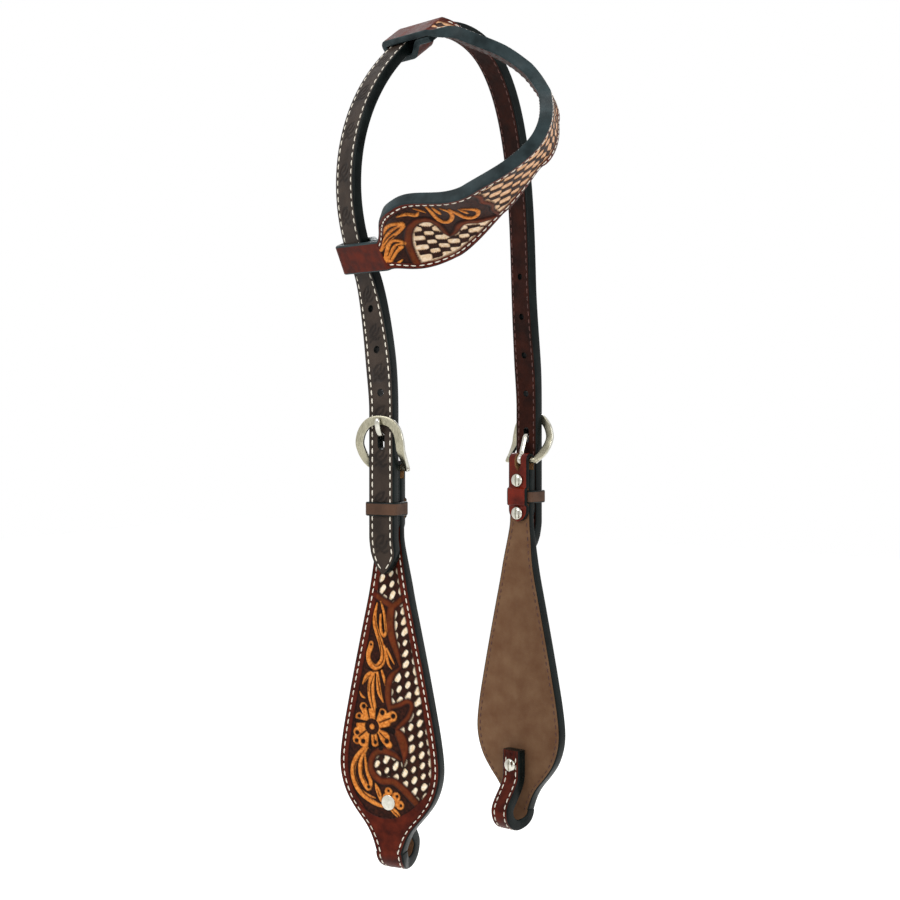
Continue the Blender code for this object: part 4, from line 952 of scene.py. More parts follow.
# Tooling depths and widths in millimetres. A carved part stands up from the ground that is beaten
# down round it, with a bevel between the two.
GROUND_DEPTH = 0.55
BEVEL_START = 0.25
BEVEL_WIDTH = 0.9
CUT_DEPTH = 0.4
CUT_BEVEL = 0.45
SCROLL_DOME = 0.12
VINE_DOME = 0.16
FLOWER_MIDDLE = 4.7
FLOWER_BUTTON = 1.8
FLOWER_CORE_WIDTH = 4
# Orange along the middle of the vine, a painted highlight on its dome.
VINE_PAINTED_HIGHLIGHT = 0.08


def flower(x, y, place, lobes, cuts, eyes):
    """Gaps in mm of a tooled flower: its petals, their cuts, its dark middle and its button."""
    cx, cy = place
    spokes = [[(cx, cy, FLOWER_CORE_WIDTH), (lx, ly, radius * 2)] for lx, ly, radius in lobes]
    petals = strokes_gap(spokes, x, y)
    marks = np.minimum(strokes_gap(cuts, x, y), dots_gap(eyes, x, y))
    middle = np.hypot(x - cx, y - cy)
    return petals, marks, middle - FLOWER_MIDDLE, middle - FLOWER_BUTTON


def tool(border, vine, scroll, cut, weave, weave_relief, plain):
    """Press in mm and the four paint amounts from the gaps of a drawing."""
    press_weave, opening, weave_edge, ribs = weave_relief
    raised = np.minimum(np.minimum(vine, scroll), border)
    raised = np.where(plain, -5.0, raised)
    ground = np.where(weave, press_weave, GROUND_DEPTH)
    lift = ease((BEVEL_START - raised) / BEVEL_WIDTH)
    press = ground * (1 - lift)
    dome = np.clip(-scroll / 1.2, 0, 1)
    press = press - SCROLL_DOME * dome * (2 - dome)
    press = press - VINE_DOME * np.clip(-vine / 1.6, 0, 1)
    press = press + CUT_DEPTH * (np.clip(1 - np.abs(cut) / CUT_BEVEL, 0, 1) + (cut < 0))
    oxblood = np.maximum(np.maximum(fill(vine), fill(border)), plain)
    # A little orange along the vine's middle is a painted highlight on the domed vine.
    orange = np.maximum(fill(scroll), VINE_PAINTED_HIGHLIGHT * np.clip(-vine / 1.8, 0, 1))
    orange = orange * ~plain * (1 - fill(border))
    cream = np.where(weave, opening, 0) * (1 - oxblood) * (1 - orange)
    seam = np.clip(1 - np.abs(raised - 0.2) / 0.7, 0, 1)
    # rim darkens the vine along its edges: antique that gathers at the bevel, and painted shade on the
    # sides of the domed vine.
    rim = np.clip(1 - np.abs(vine + 0.2) / 1.1, 0, 1) * 0.75
    antique = np.maximum(np.maximum(seam * np.where(weave, 0.7, 1.0), rim), fill(cut, 0.6))
    stamped = (weave_edge * 0.9 + ribs * 0.35) * (1 - cream) * (1 - oxblood)
    antique = np.maximum(antique, np.where(weave, stamped, 0))
    antique = np.where(plain, 0, antique)
    return press, np.stack([orange, oxblood, cream, antique], -1)


RIM_FADE = 0.8
GROOVE_STAIN = 0.45


def finish_edge(press, paint, edge, inset, shown, rim, rim_stain):
    """Adds the stitch groove and the burnished rim. The press, the edge distance and the rim come
    in mm, and the inset in metres. The press that it gives is in metres too."""
    groove = groove_at(edge * MM, inset) * shown
    burnish = np.clip((rim - edge) / RIM_FADE, 0, 1) * rim_stain
    paint[..., 3] = np.maximum(paint[..., 3], np.maximum(burnish, groove * GROOVE_STAIN))
    return press * MM + STITCH_GROOVE * groove, paint


# %% [markdown]
# ## The crown
#
# The crown is one long strap, two layers thick: over the poll in an arch, down both sides, through
# the buckles, and to a point on each cheek. Its route is rebuilt from the sizes above, finely
# enough for the embossed leaves on its face. The buckle holes are cut with a Boolean.

# %% The crown's route
ARCH_ACROSS = across_at(CROWN_YAW)
ARCH_BACK = np.cross(UP, ARCH_ACROSS)
ARCH_MIDDLE = ARCH_BACK * ARCH_CENTRE_BACK - UP * ARCH_CENTRE_DROP


def arch_point(angle):
    """Place on the arch over the poll: 0 points straight back and 90 degrees up."""
    angle = np.asarray(angle, float)[..., None]
    return ARCH_MIDDLE + (ARCH_BACK * np.cos(angle) + UP * np.sin(angle)) * ARCH_RADIUS


def billet_points(side, step):
    """Straight stretch of one billet, from its tip up past the buckle."""
    drops = np.linspace(BILLET_DROP, -BILLET_STRAIGHT, round((BILLET_DROP + BILLET_STRAIGHT) / step))
    n = blend(BILLET_MIDDLE, TIP_MIDDLE, ease((drops - CHAPE_DROP) / BILLET_TIP_LENGTH))
    return side.place(0 * drops, n, drops)


def crown_route(step):
    """The crown's middle line, from the right billet's tip over the poll to the left one's."""
    right, left = billet_points(RIGHT, step), billet_points(LEFT, step)
    arch_end = arch_point(ARCH_END_ANGLE)
    arch_along = ARCH_BACK * math.sin(ARCH_END_ANGLE) - UP * math.cos(ARCH_END_ANGLE)
    rise = hermite(right[-1], UP * SETTLE_PULL_SHARE, arch_end, arch_along * SWEEP_PULL_SHARE, step)
    sag = ARCH_RADIUS - ARCH_CENTRE_DROP - CROWN_HALF_THICK
    centre_gap = (ARCH_CENTRE_BACK ** 2 + sag ** 2) / (2 * sag)
    top_radius = ARCH_RADIUS - centre_gap
    top_lean = math.asin(ARCH_CENTRE_BACK / centre_gap)
    arch_top = math.pi / 2 + top_lean
    count = math.ceil((ARCH_END_ANGLE - arch_top) * ARCH_RADIUS / step)
    arch = arch_point(np.linspace(ARCH_END_ANGLE, arch_top, count + 1)[1:])
    count = math.ceil((top_lean + FAR_SHOULDER_ANGLE) * top_radius / step)
    leans = np.linspace(-top_lean, FAR_SHOULDER_ANGLE, count + 1)[1:, None]
    top_out = ARCH_BACK * np.sin(leans) + UP * np.cos(leans)
    top = UP * (CROWN_HALF_THICK - top_radius) + top_out * top_radius
    shoulder = ARCH_BACK * math.cos(FAR_SHOULDER_ANGLE) - UP * math.sin(FAR_SHOULDER_ANGLE)
    far = ARCH_BACK * FAR_REACH - UP * FAR_REACH_DROP
    far_along = ARCH_BACK * math.sin(FAR_REACH_LEAN) - UP * math.cos(FAR_REACH_LEAN)
    far_pull = far_along * HANG_PULL_SHARE
    fall = hermite(top[-1], shoulder * SHOULDER_PULL_SHARE, far, far_pull, step)
    settle = hermite(far, far_pull, left[-1], -UP * SETTLE_PULL_SHARE, step)
    ramp = lambda part: ease(np.arange(1, len(part) + 1) / len(part))
    yaws = np.concatenate([
        np.full(len(right), RIGHT_YAW), blend(RIGHT_YAW, CROWN_YAW, ramp(rise)),
        np.full(len(arch) + len(top) + len(fall), CROWN_YAW),
        blend(CROWN_YAW, LEFT_YAW, ramp(settle)), np.full(len(left) - 1, LEFT_YAW),
    ])
    return stations(np.vstack([right, rise, arch, top, fall, settle, left[-2::-1]]), across_at(yaws))


def crown_half_width(points):
    """Half width of the crown, tapered into its billets and their tips."""
    drop = -points[:, 2] - BAR_DROP
    tip = (drop - BILLET_DROP + BILLET_TIP_LENGTH) / BILLET_TIP_LENGTH
    strap = blend(CROWN_WIDTH, BILLET_WIDTH, ease((drop + BILLET_STRAIGHT * 2) / BILLET_STRAIGHT)) / 2
    return np.where(tip > 0, BILLET_WIDTH / 2 * read_shares(BILLET_TIP_SHARES, tip), strap)


CROWN_STEP = 0.8 * MM
crown_line = crown_route(CROWN_STEP)
crown_halves = crown_half_width(crown_line[0])
crown_length = length_along(crown_line[0])
print("crown strap, mm:", round(crown_length[-1] / MM), "points:", len(crown_length))

# %% [markdown]
# The crown's face carries small leaves, pressed in faintly, with painted shade along their outlines.
# They point along the strap in pairs, every few centimetres.

# %% The crown's two layers
STITCH_INSET = 2.5 * MM
LEAF_PITCH = 25.0
LEAF_DEPTH = 0.42 * MM
LEAF_STROKES = [
    [(-4.2, 13.4, 0.4), (-1.6, 14.8, 0.9), (1.2, 13.4, 0.9), (3.8, 14.8, 0.4)],
    [(-3.0, 17.6, 0.4), (-0.4, 16.0, 0.9), (2.4, 17.4, 0.9), (3.9, 20.2, 0.4)],
    [(-3.8, 16.2, 0.5), (-3.5, 19.6, 0.9), (-1.0, 22.4, 0.8), (2.2, 23.2, 0.4)],
    [(-1.4, 18.6, 0.5), (0.7, 19.6, 0.9), (1.7, 21.8, 0.5)],
]


def crown_relief(u, half):
    """Stitch grooves and embossed leaves of the crown's face."""
    x = u / MM
    y = np.broadcast_to((crown_length / MM)[:, None], x.shape)
    leaves = strokes_gap(LEAF_STROKES, x, np.mod(y, LEAF_PITCH))
    mark = np.clip(0.5 - leaves / 0.9, 0, 1)
    groove = groove_at(half - np.abs(u), STITCH_INSET)
    paint = np.zeros(x.shape + (4,))
    # The alpha amount is painted shade along the leaves' outlines, and darkens the stitch grooves.
    paint[..., 3] = 0.75 * np.clip(1 - np.abs(leaves) / 0.7, 0, 1) + 0.35 * groove
    return STITCH_GROOVE * groove + LEAF_DEPTH * mark, paint


split = CROWN_HALF_THICK - CROWN_FACE_THICK
crown_face = skin(
    "crown_strap_face", crown_line, crown_halves, split - SEAT_GAP / 2, CROWN_HALF_THICK,
    [crown_leather, edge_paint, crown_lining_leather], columns=24, relief=crown_relief,
)
crown_lining = skin(
    "crown_strap_lining", crown_line, crown_halves, -CROWN_HALF_THICK, split - SEAT_GAP * 0.6,
    [crown_lining_leather, edge_paint, crown_lining_leather], show_high=False, columns=9,
)


# %% Cut the buckle holes
HOLE_SIDES = 28


def prism(bm, outline, depth, index):
    """A closed prism from an outline, with a material index for its faces."""
    low = [bm.verts.new(point) for point in outline]
    high = [bm.verts.new(point + depth) for point in outline]
    faces = [bm.faces.new(low), bm.faces.new(high)]
    for i in range(len(low)):
        j = (i + 1) % len(low)
        faces.append(bm.faces.new((low[i], low[j], high[j], high[i])))
    for face in faces:
        face.material_index = index
    bmesh.ops.recalc_face_normals(bm, faces=faces)


def round_outline(centre, across, along, radius, stretch=0.0):
    """Outline of a round hole, drawn longer by the stretch."""
    angles = 2 * math.pi * (np.arange(HOLE_SIDES) + 0.5) / HOLE_SIDES
    w = radius * np.cos(angles)
    rise = radius * np.sin(angles) + np.copysign(stretch / 2, np.sin(angles))
    return centre + across * w[:, None] + along * rise[:, None]


def cut_with(piece, prisms, index=1):
    """Cuts several prisms out of a piece. The cut faces get the material of that index."""
    bm = bmesh.new()
    for outline, depth in prisms:
        prism(bm, outline, depth, index)
    mesh = bpy.data.meshes.new(piece.name + "_cutter")
    bm.to_mesh(mesh)
    bm.free()
    apply_boolean(piece, mesh, "DIFFERENCE")


def apply_boolean(piece, mesh, operation):
    """Cuts a mesh out of a piece, or joins it on, and keeps the result as the piece's mesh."""
    for material in piece.data.materials:
        mesh.materials.append(material)
    cutter = bpy.data.objects.new(mesh.name, mesh)
    bpy.context.scene.collection.objects.link(cutter)
    modifier = piece.modifiers.new("cut", "BOOLEAN")
    modifier.operation = operation
    modifier.solver = "EXACT"
    modifier.object = cutter
    graph = bpy.context.evaluated_depsgraph_get()
    made = bpy.data.meshes.new_from_object(piece.evaluated_get(graph), depsgraph=graph)
    piece.modifiers.clear()
    piece.data = made
    bpy.data.objects.remove(cutter)


def crown_holes():
    """Prisms of the free holes and of the hole that each tongue has drawn long."""
    prisms = []
    points, along, across, out = crown_line
    middle = len(points) // 2
    depth = CROWN_THICK + 4 * MM
    for half_route in (slice(0, middle), slice(len(points) - 1, middle, -1)):
        heights = points[half_route][:, 2]
        holes = [((TONGUE_HOLE_LOW + TONGUE_HOLE_HIGH) / 2, TONGUE_HOLE_WIDTH,
                  TONGUE_HOLE_HIGH - TONGUE_HOLE_LOW - TONGUE_HOLE_WIDTH)]
        holes += [(FIRST_HOLE_RISE + HOLE_PITCH * i, HOLE_DIAMETER, 0.0) for i in range(FREE_HOLES)]
        for rise, width, stretch in holes:
            i = int(np.abs(heights - (rise - BAR_DROP)).argmin())
            p, a, w, o = [part[half_route][i] for part in (points, along, across, out)]
            prisms.append((round_outline(p - o * depth / 2, w, a, width / 2, stretch), o * depth))
    return prisms


for piece in (crown_face, crown_lining):
    cut_with(piece, crown_holes())
    check_outward(piece)
    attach(piece, "straps")
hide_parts("crown_face")
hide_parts("crown_lining")

# %% The crown's stitching
crown_stitches = stitches(
    "crown_stitches", crown_line, crown_halves, CROWN_HALF_THICK - 0.1 * MM, STITCH_INSET, white_thread,
    2.4 * MM, crown_length[-1] - 2.4 * MM, pitch=4.9 * MM, length=3.6 * MM,
)
crown_lining_stitches = stitches(
    "crown_lining_stitches", crown_line, crown_halves, -CROWN_HALF_THICK, STITCH_INSET, russet_thread,
    3.4 * MM, crown_length[-1] - 3.4 * MM, pitch=4.9 * MM, length=3.6 * MM,
    outward=-1.0,
)
for piece in (crown_stitches, crown_lining_stitches):
    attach(piece, "straps")

# %% [markdown]
# ## The cheeks
#
# Each cheek is a spatula-shaped piece with its lining. The narrow tail at the bottom folds up
# behind it into a loop for the bit ring. The drawing above is pressed into the face on a grid of
# half a millimetre.


# %% The cheek's route and widths
def cheek_route(side, step):
    """Grain face of a cheek from its top, down, round the bit ring and up to the tail's end."""
    turn = CHEEK_DROP - LOOP_RADIUS
    s = np.linspace(CHEEK_TOP_DROP, turn, math.ceil((turn - CHEEK_TOP_DROP) / step))
    angles = np.linspace(0, math.pi, math.ceil(math.pi * LOOP_RADIUS / step) + 1)[1:]
    rise = np.arange(1, math.ceil((turn - TAIL_CLOSE_DROP) / step) + 1)
    rise = rise / len(rise)
    end = np.arange(1, math.ceil((TAIL_CLOSE_DROP - TAIL_END_DROP) / step) + 1)
    end = end / len(end)
    n = np.concatenate([
        0 * s, -LOOP_RADIUS * (1 - np.cos(angles)), blend(-LOOP_RADIUS * 2, -TAIL_FACE_IN, ease(rise)),
        -TAIL_FACE_IN + 0 * end,
    ])
    drops = np.concatenate([
        s, turn + LOOP_RADIUS * np.sin(angles), blend(turn, TAIL_CLOSE_DROP, rise),
        blend(TAIL_CLOSE_DROP, TAIL_END_DROP, end),
    ])
    points = side.place(0 * n, n, drops)
    hints = np.broadcast_to(side.across, points.shape)
    route = stations(points, hints)
    if route[3][0].dot(side.out) < 0:
        route = stations(points, hints, flip=True)
    return route, n, drops


def cheek_half_width(n, s):
    """Half width of a cheek: its outline down to the loop, then narrowed into the folded tail."""
    down = CHEEK_WIDTH / 2 * read_shares(CHEEK_WIDTH_SHARES, s / CHEEK_DROP)
    start = CHEEK_WIDTH * float(read_shares(CHEEK_WIDTH_SHARES, [1 - LOOP_RADIUS / CHEEK_DROP])[0])
    return np.where(n > -SEAT_GAP / 3, down, blend(start, TAIL_WIDTH, ease(-n / LOOP_RADIUS)) / 2)


def skived(s, n, thin, full):
    """Thickness of a cheek layer: thin under the chape, full from the billet's tip down."""
    share = (s - CHAPE_DROP) / (CHEEK_DROP * SKIVE_END_SHARE - CHAPE_DROP)
    return np.where(n < 0, full, blend(thin, full, ease(share)))


# %% Press and paint the cheek's drawing
CHEEK_STEP = 0.5 * MM
CHEEK_STITCH_INSET = 2.8 * MM
CHEEK_BORDER = 5.8
CHEEK_RIM = 1.3


def cheek_relief(side, n, s):
    """Relief function of one cheek: the drawing, mirrored on the left side."""
    def relief(u, half):
        x = u / MM * side.sign
        y = np.broadcast_to((s / MM)[:, None], x.shape)
        front = np.broadcast_to((n > -SEAT_GAP / 3)[:, None], x.shape)
        slope = np.gradient(half[:, 0]) / np.maximum(np.abs(np.gradient(s)), 0.1 * MM)
        edge = (half - np.abs(u)) / MM / np.sqrt(1 + np.clip(slope, -2, 2) ** 2)[:, None]
        border = edge - CHEEK_BORDER
        vine = strokes_gap(CHEEK_VINE, x, y)
        scroll = np.minimum(strokes_gap(CHEEK_SCROLLS, x, y), dots_gap(CHEEK_SPOTS, x, y))
        petals, petal_cuts, middle, button = flower(
            x, y, FLOWER_PLACE, FLOWER_LOBES, FLOWER_CUTS, FLOWER_EYES
        )
        scroll = np.minimum(np.minimum(scroll, np.maximum(petals, -middle)), button)
        cut = np.minimum(strokes_gap(CHEEK_VEINS, x, y), dots_gap(CHEEK_EYES, x, y))
        cut = np.minimum(cut, petal_cuts)
        weave = inside(CHEEK_WEAVE, x, y)
        weave_x, weave_y = x - 22.5 - 0.08 * (y - 173.6), y - 173.6
        grow = 0.42 * ease((2.2 - np.minimum(vine, border)) / 1.8)
        weave_relief = basket_weave(weave_x, weave_y, grow, **CHEEK_BASKET)
        arc = ARC_DROP - ARC_SAG_SHARE * (x + 3) ** 2
        plain = (y > arc) | ~front
        press, paint = tool(border, vine, scroll, cut, weave, weave_relief, plain)
        beads = np.cos(np.arctan2(y - FLOWER_PLACE[1], x - FLOWER_PLACE[0]) * 16)
        press = press - 0.15 * np.clip(1 - np.abs(middle + 1.2) / 0.9, 0, 1) * beads
        line = np.where(front, np.clip(1 - np.abs(y - arc) / 0.5, 0, 1), 0) * (border > -3)
        press = press + 0.3 * line
        paint[..., 3] = np.maximum(paint[..., 3], line * 0.9)
        return finish_edge(press, paint, edge, CHEEK_STITCH_INSET, 1.0, CHEEK_RIM, 1.0)

    return relief


def build_cheek(side):
    """Both layers of one cheek, with a row of stitches along each edge of each layer."""
    route, n, s = cheek_route(side, CHEEK_STEP)
    halves = cheek_half_width(n, s)
    backs = -skived(s, n, SKIVED_FACE_THICK, CHEEK_FACE_THICK)
    lining_backs = backs - SEAT_GAP - skived(s, n, SKIVED_LINING_THICK, CHEEK_LINING_THICK)
    face = skin(
        side.name + "_cheek_tooled_face", route, halves, backs - SEAT_GAP / 2, 0.0,
        [painted_leather, edge_paint, cheek_lining_leather], columns=128,
        relief=cheek_relief(side, n, s),
    )
    lining = skin(
        side.name + "_cheek_lining_leather", route, halves, lining_backs, backs - SEAT_GAP * 0.6,
        [cheek_lining_leather, edge_paint, cheek_lining_leather], show_high=False, columns=9,
    )
    length = length_along(route[0])
    start = CHAPE_DROP - CHEEK_TOP_DROP
    stop = length[-1] - 1 * MM
    face_stitches = stitches(
        side.name + "_cheek_stitches", route, halves, -0.1 * MM, CHEEK_STITCH_INSET, white_thread,
        start, stop, pitch=4.5 * MM, length=3.4 * MM,
    )
    lining_stitches = stitches(
        side.name + "_cheek_lining_stitches", route, halves, lining_backs, 3.0 * MM, brown_thread,
        start, length[-1] - TAIL_CLOSE_DROP + TAIL_END_DROP - 60 * MM,
        pitch=4.5 * MM, length=3.2 * MM, outward=-1.0,
    )
    for piece, slot in (
        (face, "tooled_leather"), (lining, "cheek_lining_leather"),
        (face_stitches, "tooled_leather"), (lining_stitches, "cheek_lining_leather"),
    ):
        check_outward(piece)
        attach(piece, "straps")
    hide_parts(side.name + "_cheek_face")
    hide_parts(side.name + "_cheek_lining")


for side in (RIGHT, LEFT):
    build_cheek(side)
print("cheeks made")

# %% [markdown]
# ## The ear piece
#
# The ear piece starts as a strip that wraps round the crown, opens into a wide shaped panel, twists
# as it sweeps forward round the ear, and ends in a second wrap near the top. Both ends fold right
# round the crown and lie on their own back. Its thick edge, painted slate, faces the ear.

# %% The ear piece's route
UPPER_WRAP_ANGLE = 127.5 * DEG
LOWER_WRAP_ANGLE = 202.5 * DEG
WRAP_CLEARANCE = 0.7 * MM
WRAP_FACE_THICK = 2.1 * MM
WRAP_LINING_THICK = 1.6 * MM
WRAP_CORNER = 2.4 * MM
WRAP_TAIL = 32.0 * MM
WRAP_JOIN = 21.0 * MM
LOWER_WRAP_WIDTH = 18.0 * MM
UPPER_WRAP_WIDTH = 16.5 * MM
EAR_FACE_THICK = 3.7 * MM
EAR_LINING_THICK = 3.3 * MM
EAR_WIDTH = 54.0 * MM
EAR_REACH = 128.0 * MM
EAR_FACING = 38.1 * DEG
EAR_DIP = -5 * DEG
EAR_THICKEN = 18.0 * MM
EAR_ROUTE_SHARES = [
    (0.930, 0.508, 0.097, 1.00, 45),
    (0.841, 0.820, 0.196, 0.78, 26),
    (0.662, 1.000, 0.394, 0.57, 16),
    (0.438, 0.845, 0.592, 0.44, 9),
    (0.367, 0.665, 0.752, 0.37, 2),
    (0.438, 0.545, 0.856, 0.35, 0),
    (0.573, 0.410, 0.932, 0.33, 0),
]
EAR_STEP = 0.55 * MM
BEND_POINTS = 9


def wrap_places(step):
    """Line between the two ear layers round the crown, as (b, n): tail, three sides, then out."""
    level = CROWN_HALF_THICK + WRAP_CLEARANCE + WRAP_LINING_THICK + SEAT_GAP / 2
    side_b = -(CROWN_WIDTH / 2 + WRAP_CLEARANCE + WRAP_LINING_THICK + SEAT_GAP / 2)
    tail_n = level - WRAP_LINING_THICK * 2 - SEAT_GAP * 2
    lead_b = CROWN_WIDTH / 2 - WRAP_CLEARANCE
    lines = []

    def straight(b0, b1, n0, n1, eased=False):
        count = max(2, math.ceil(abs(b1 - b0) / step))
        t = np.arange(count) / count
        lines.append(np.stack([blend(b0, b1, t), blend(n0, n1, ease(t) if eased else t)], -1))

    straight(WRAP_TAIL, WRAP_JOIN, tail_n, tail_n)
    straight(WRAP_JOIN, lead_b, tail_n, -level, eased=True)
    corner_b = side_b + WRAP_CORNER
    straight(lead_b, corner_b, -level, -level)
    for turn, corner_n in ((1.5, WRAP_CORNER - level), (1.0, level - WRAP_CORNER)):
        angles = math.pi * turn - np.linspace(0, math.pi / 2, BEND_POINTS)
        lines.append(np.stack([
            corner_b + WRAP_CORNER * np.cos(angles), corner_n + WRAP_CORNER * np.sin(angles)
        ], -1))
    straight(corner_b + step, WRAP_TAIL, level, level)
    lines.append(np.array([[WRAP_TAIL, level]]))
    return np.vstack(lines)


def wrap_points(angle, step):
    """World points of a wrap at one place on the arch, tail first, and the way up the strap."""
    out = ARCH_BACK * math.cos(angle) + UP * math.sin(angle)
    up_strap = ARCH_BACK * math.sin(angle) - UP * math.cos(angle)
    places = wrap_places(step)
    return arch_point(angle) + ARCH_ACROSS * places[:, :1] + out * places[:, 1:], up_strap


def ear_route(step):
    """Frames, widths and layer thickening along the ear piece, from lower tail to upper tail."""
    low_points, low_hint = wrap_points(LOWER_WRAP_ANGLE, step)
    top_points, top_hint = wrap_points(UPPER_WRAP_ANGLE, step)
    top_hint = -top_hint
    facing = ARCH_ACROSS * math.cos(EAR_FACING) - ARCH_BACK * math.sin(EAR_FACING)
    facing = unit(facing + UP * math.sin(EAR_DIP))
    low_lead = low_points[-1] - unit(low_points[-1] - low_points[-2]) * (WRAP_TAIL - WRAP_JOIN)
    top_lead = top_points[-1] - unit(top_points[-1] - top_points[-2]) * (WRAP_TAIL - WRAP_JOIN)
    height = top_points[-1][2] - low_points[-1][2]
    knots = [low_lead, low_points[-1]]
    widths = [LOWER_WRAP_WIDTH, LOWER_WRAP_WIDTH]
    rolls = []
    for back, reach, rise, width, roll in EAR_ROUTE_SHARES:
        knots.append(
            ARCH_MIDDLE - ARCH_BACK * ARCH_RADIUS * back + ARCH_ACROSS * EAR_REACH * reach
            + UP * (low_points[-1][2] + height * rise - ARCH_MIDDLE[2])
        )
        widths.append(EAR_WIDTH * width)
        rolls.append(roll * DEG)
    knots += [top_points[-1], top_lead]
    widths += [UPPER_WRAP_WIDTH, UPPER_WRAP_WIDTH]
    hints = [low_hint, low_hint]
    for i, roll in enumerate(rolls):
        along = unit(knots[i + 3] - knots[i + 1])
        away = unit(np.cross(along, facing))
        hints.append(facing * math.cos(roll) - away * math.sin(roll))
    hints += [top_hint, top_hint]
    points = [low_points[:-1]]
    route_hints = [np.broadcast_to(low_hint, points[0].shape)]
    route_widths = [np.full(len(points[0]), LOWER_WRAP_WIDTH)]
    for i in range(1, len(knots) - 2):
        count = math.ceil(np.linalg.norm(knots[i + 1] - knots[i]) / step)
        t = np.arange(count) / count
        points.append(through(knots, i, t))
        route_hints.append(blend(hints[i], hints[i + 1], ease(t)[:, None]))
        route_widths.append(blend(widths[i], widths[i + 1], ease(t)))
    points.append(top_points[::-1])
    route_hints.append(np.broadcast_to(top_hint, top_points.shape))
    route_widths.append(np.full(len(top_points), UPPER_WRAP_WIDTH))
    points = np.vstack(points)
    free = np.zeros(len(points))
    free[len(low_points) - 1:len(points) - len(top_points)] = 1
    from_wrap = np.minimum(
        np.linalg.norm(points - knots[1], axis=1), np.linalg.norm(points - knots[-2], axis=1)
    )
    fullness = free * ease((from_wrap - SEAT_GAP) / EAR_THICKEN)
    route = stations(points, np.vstack(route_hints), flip=True)
    return route, np.concatenate(route_widths) / 2, fullness, len(low_points), len(top_points)


ear_line, ear_halves, ear_fullness, low_count, top_count = ear_route(EAR_STEP)
ear_length = length_along(ear_line[0])
ear_start = ear_length[low_count - 1]
ear_stop = ear_length[-top_count]
print("ear piece between its wraps, mm:", round((ear_stop - ear_start) / MM))

# %% [markdown]
# The ear's drawing has the same parts as the cheek's, in millimetres from the end of the lower
# wrap: leaves next to the wrap, a short vine, and basket weave for the rest of the sweep.

# %% The ear's drawing
EAR_VINE = [
    [(-22, 15, 4.6), (-16, 16, 4.8), (-11, 17.2, 5), (-5, 19.6, 5.2), (0.5, 23.2, 5.2),
     (5.5, 28.6, 5), (9.4, 35.2, 4.8), (9.6, 42.6, 4.6), (6.6, 47.2, 4.4), (1, 48.2, 4.2),
     (-5, 46.8, 3.6), (-10, 46.4, 1.6)],
    [(-10, 46.4, 1.6), (-9, 51.5, 3.6), (-5, 58.6, 4.4), (-6.3, 63.2, 4.4), (-10.6, 66.8, 4),
     (-13.6, 70.5, 3.6), (-18, 75, 2.8)],
    [(22, 80, 3), (12, 82, 3.4), (5, 80, 3.4), (-4, 81, 3.2), (-10, 78, 3), (-20, 77, 2.6)],
]
EAR_WEAVE = [
    [(-40, 15), (-16, 16), (-11, 17.2), (-5, 19.6), (0.5, 23.2), (5.5, 28.6), (9.4, 35.2),
     (9.6, 42.6), (6.6, 47.2), (1, 48.2), (-5, 46.8), (-10, 46.4), (-9, 51.5), (-5, 58.6),
     (-6.3, 63.2), (-10.6, 66.8), (-13.6, 70.5), (-18, 75), (-40, 76)],
    [(-40, 77), (-20, 77), (-10, 78), (-4, 81), (5, 80), (12, 82), (22, 80), (40, 80), (40, 400),
     (-40, 400)],
]
EAR_SCROLLS = [
    [(6, 0.5, 4), (9.6, 10, 5.2), (12.8, 19, 5.6), (14.6, 26, 5.2), (13.6, 31.4, 3.8)],
    [(4, 1.5, 3), (7, 11, 4), (9, 19, 4.2), (10.4, 26, 3.6), (11.8, 31, 2.6)],
    [(-3, 0.5, 3.6), (0.8, 6, 4.8), (3.2, 12, 5), (3.6, 17, 4.6), (1.2, 20.4, 3)],
    [(-6, 1, 2.6), (-2.8, 6.6, 3.6), (-0.8, 12, 3.6), (-0.4, 17, 2.8)],
    [(-10.5, 1, 1), (-8.4, 5.5, 2.4), (-7.4, 11, 1)],
    [(13.4, 8, 0.8), (17, 15.5, 2.2), (18.8, 22, 0.9)],
    [(19.6, 55, 1.6), (13, 53.4, 2.6), (7, 51.8, 2.8), (1.8, 52.4, 2.8), (0.8, 56, 2.8),
     (4.2, 60.6, 2.6), (9.4, 62.6, 2.4), (15, 61, 1.2)],
    [(17.5, 57.6, 1), (12.5, 57, 2.8), (9, 56.6, 1)],
    [(12, 64.4, 1.4), (4.4, 64.4, 2.6), (-1.4, 64.8, 2.8), (-5, 67.2, 2.8), (-5, 70.6, 2.8),
     (-1.4, 73.2, 2.6), (3, 72.6, 2.4), (8.4, 69.4, 1.2)],
    [(9, 68, 0.8), (4, 68.4, 2), (0.6, 68.6, 0.8)],
    [(20, 33.5, 1), (17.6, 39.5, 2.8), (14.4, 43, 2.8), (16, 46.6, 1)],
    [(20, 46, 0.9), (17, 48.6, 2), (14, 50, 0.9)],
]
EAR_VEINS = [
    [(8.4, 8, 0.4), (11.6, 16, 1), (13.8, 23, 1.5), (14, 27.5, 0.8)],
    [(6.4, 7, 0.4), (9, 16, 0.9), (10.8, 23.5, 1.4), (11.8, 27.8, 0.7)],
    [(4.4, 6, 0.4), (6.8, 14, 0.8), (7.8, 19.6, 1)],
    [(-1.2, 4, 0.4), (2, 9.6, 1), (3.6, 14.6, 1.5), (2.6, 18, 0.8)],
    [(-3.6, 4, 0.4), (-1, 9.6, 0.8), (0.6, 14.4, 1.2)],
    [(16.6, 14, 0.3), (17.8, 19, 0.5)],
    [(18.4, 39, 0.3), (15.4, 42.8, 0.7)],
]
EAR_STITCH_INSET = 3.0 * MM
EAR_BORDER = 4.7
EAR_RIM = 1.0
EAR_RIM_STAIN = 0.8
EAR_BAR_TURN = (math.sin(32 * DEG), math.cos(32 * DEG))
# The cream on the ear piece is thin, so the tan leather warms it, most of all along the sweep.
EAR_TAN_SHARE = 0.2
EAR_SWEEP_TAN_SHARE = 0.4


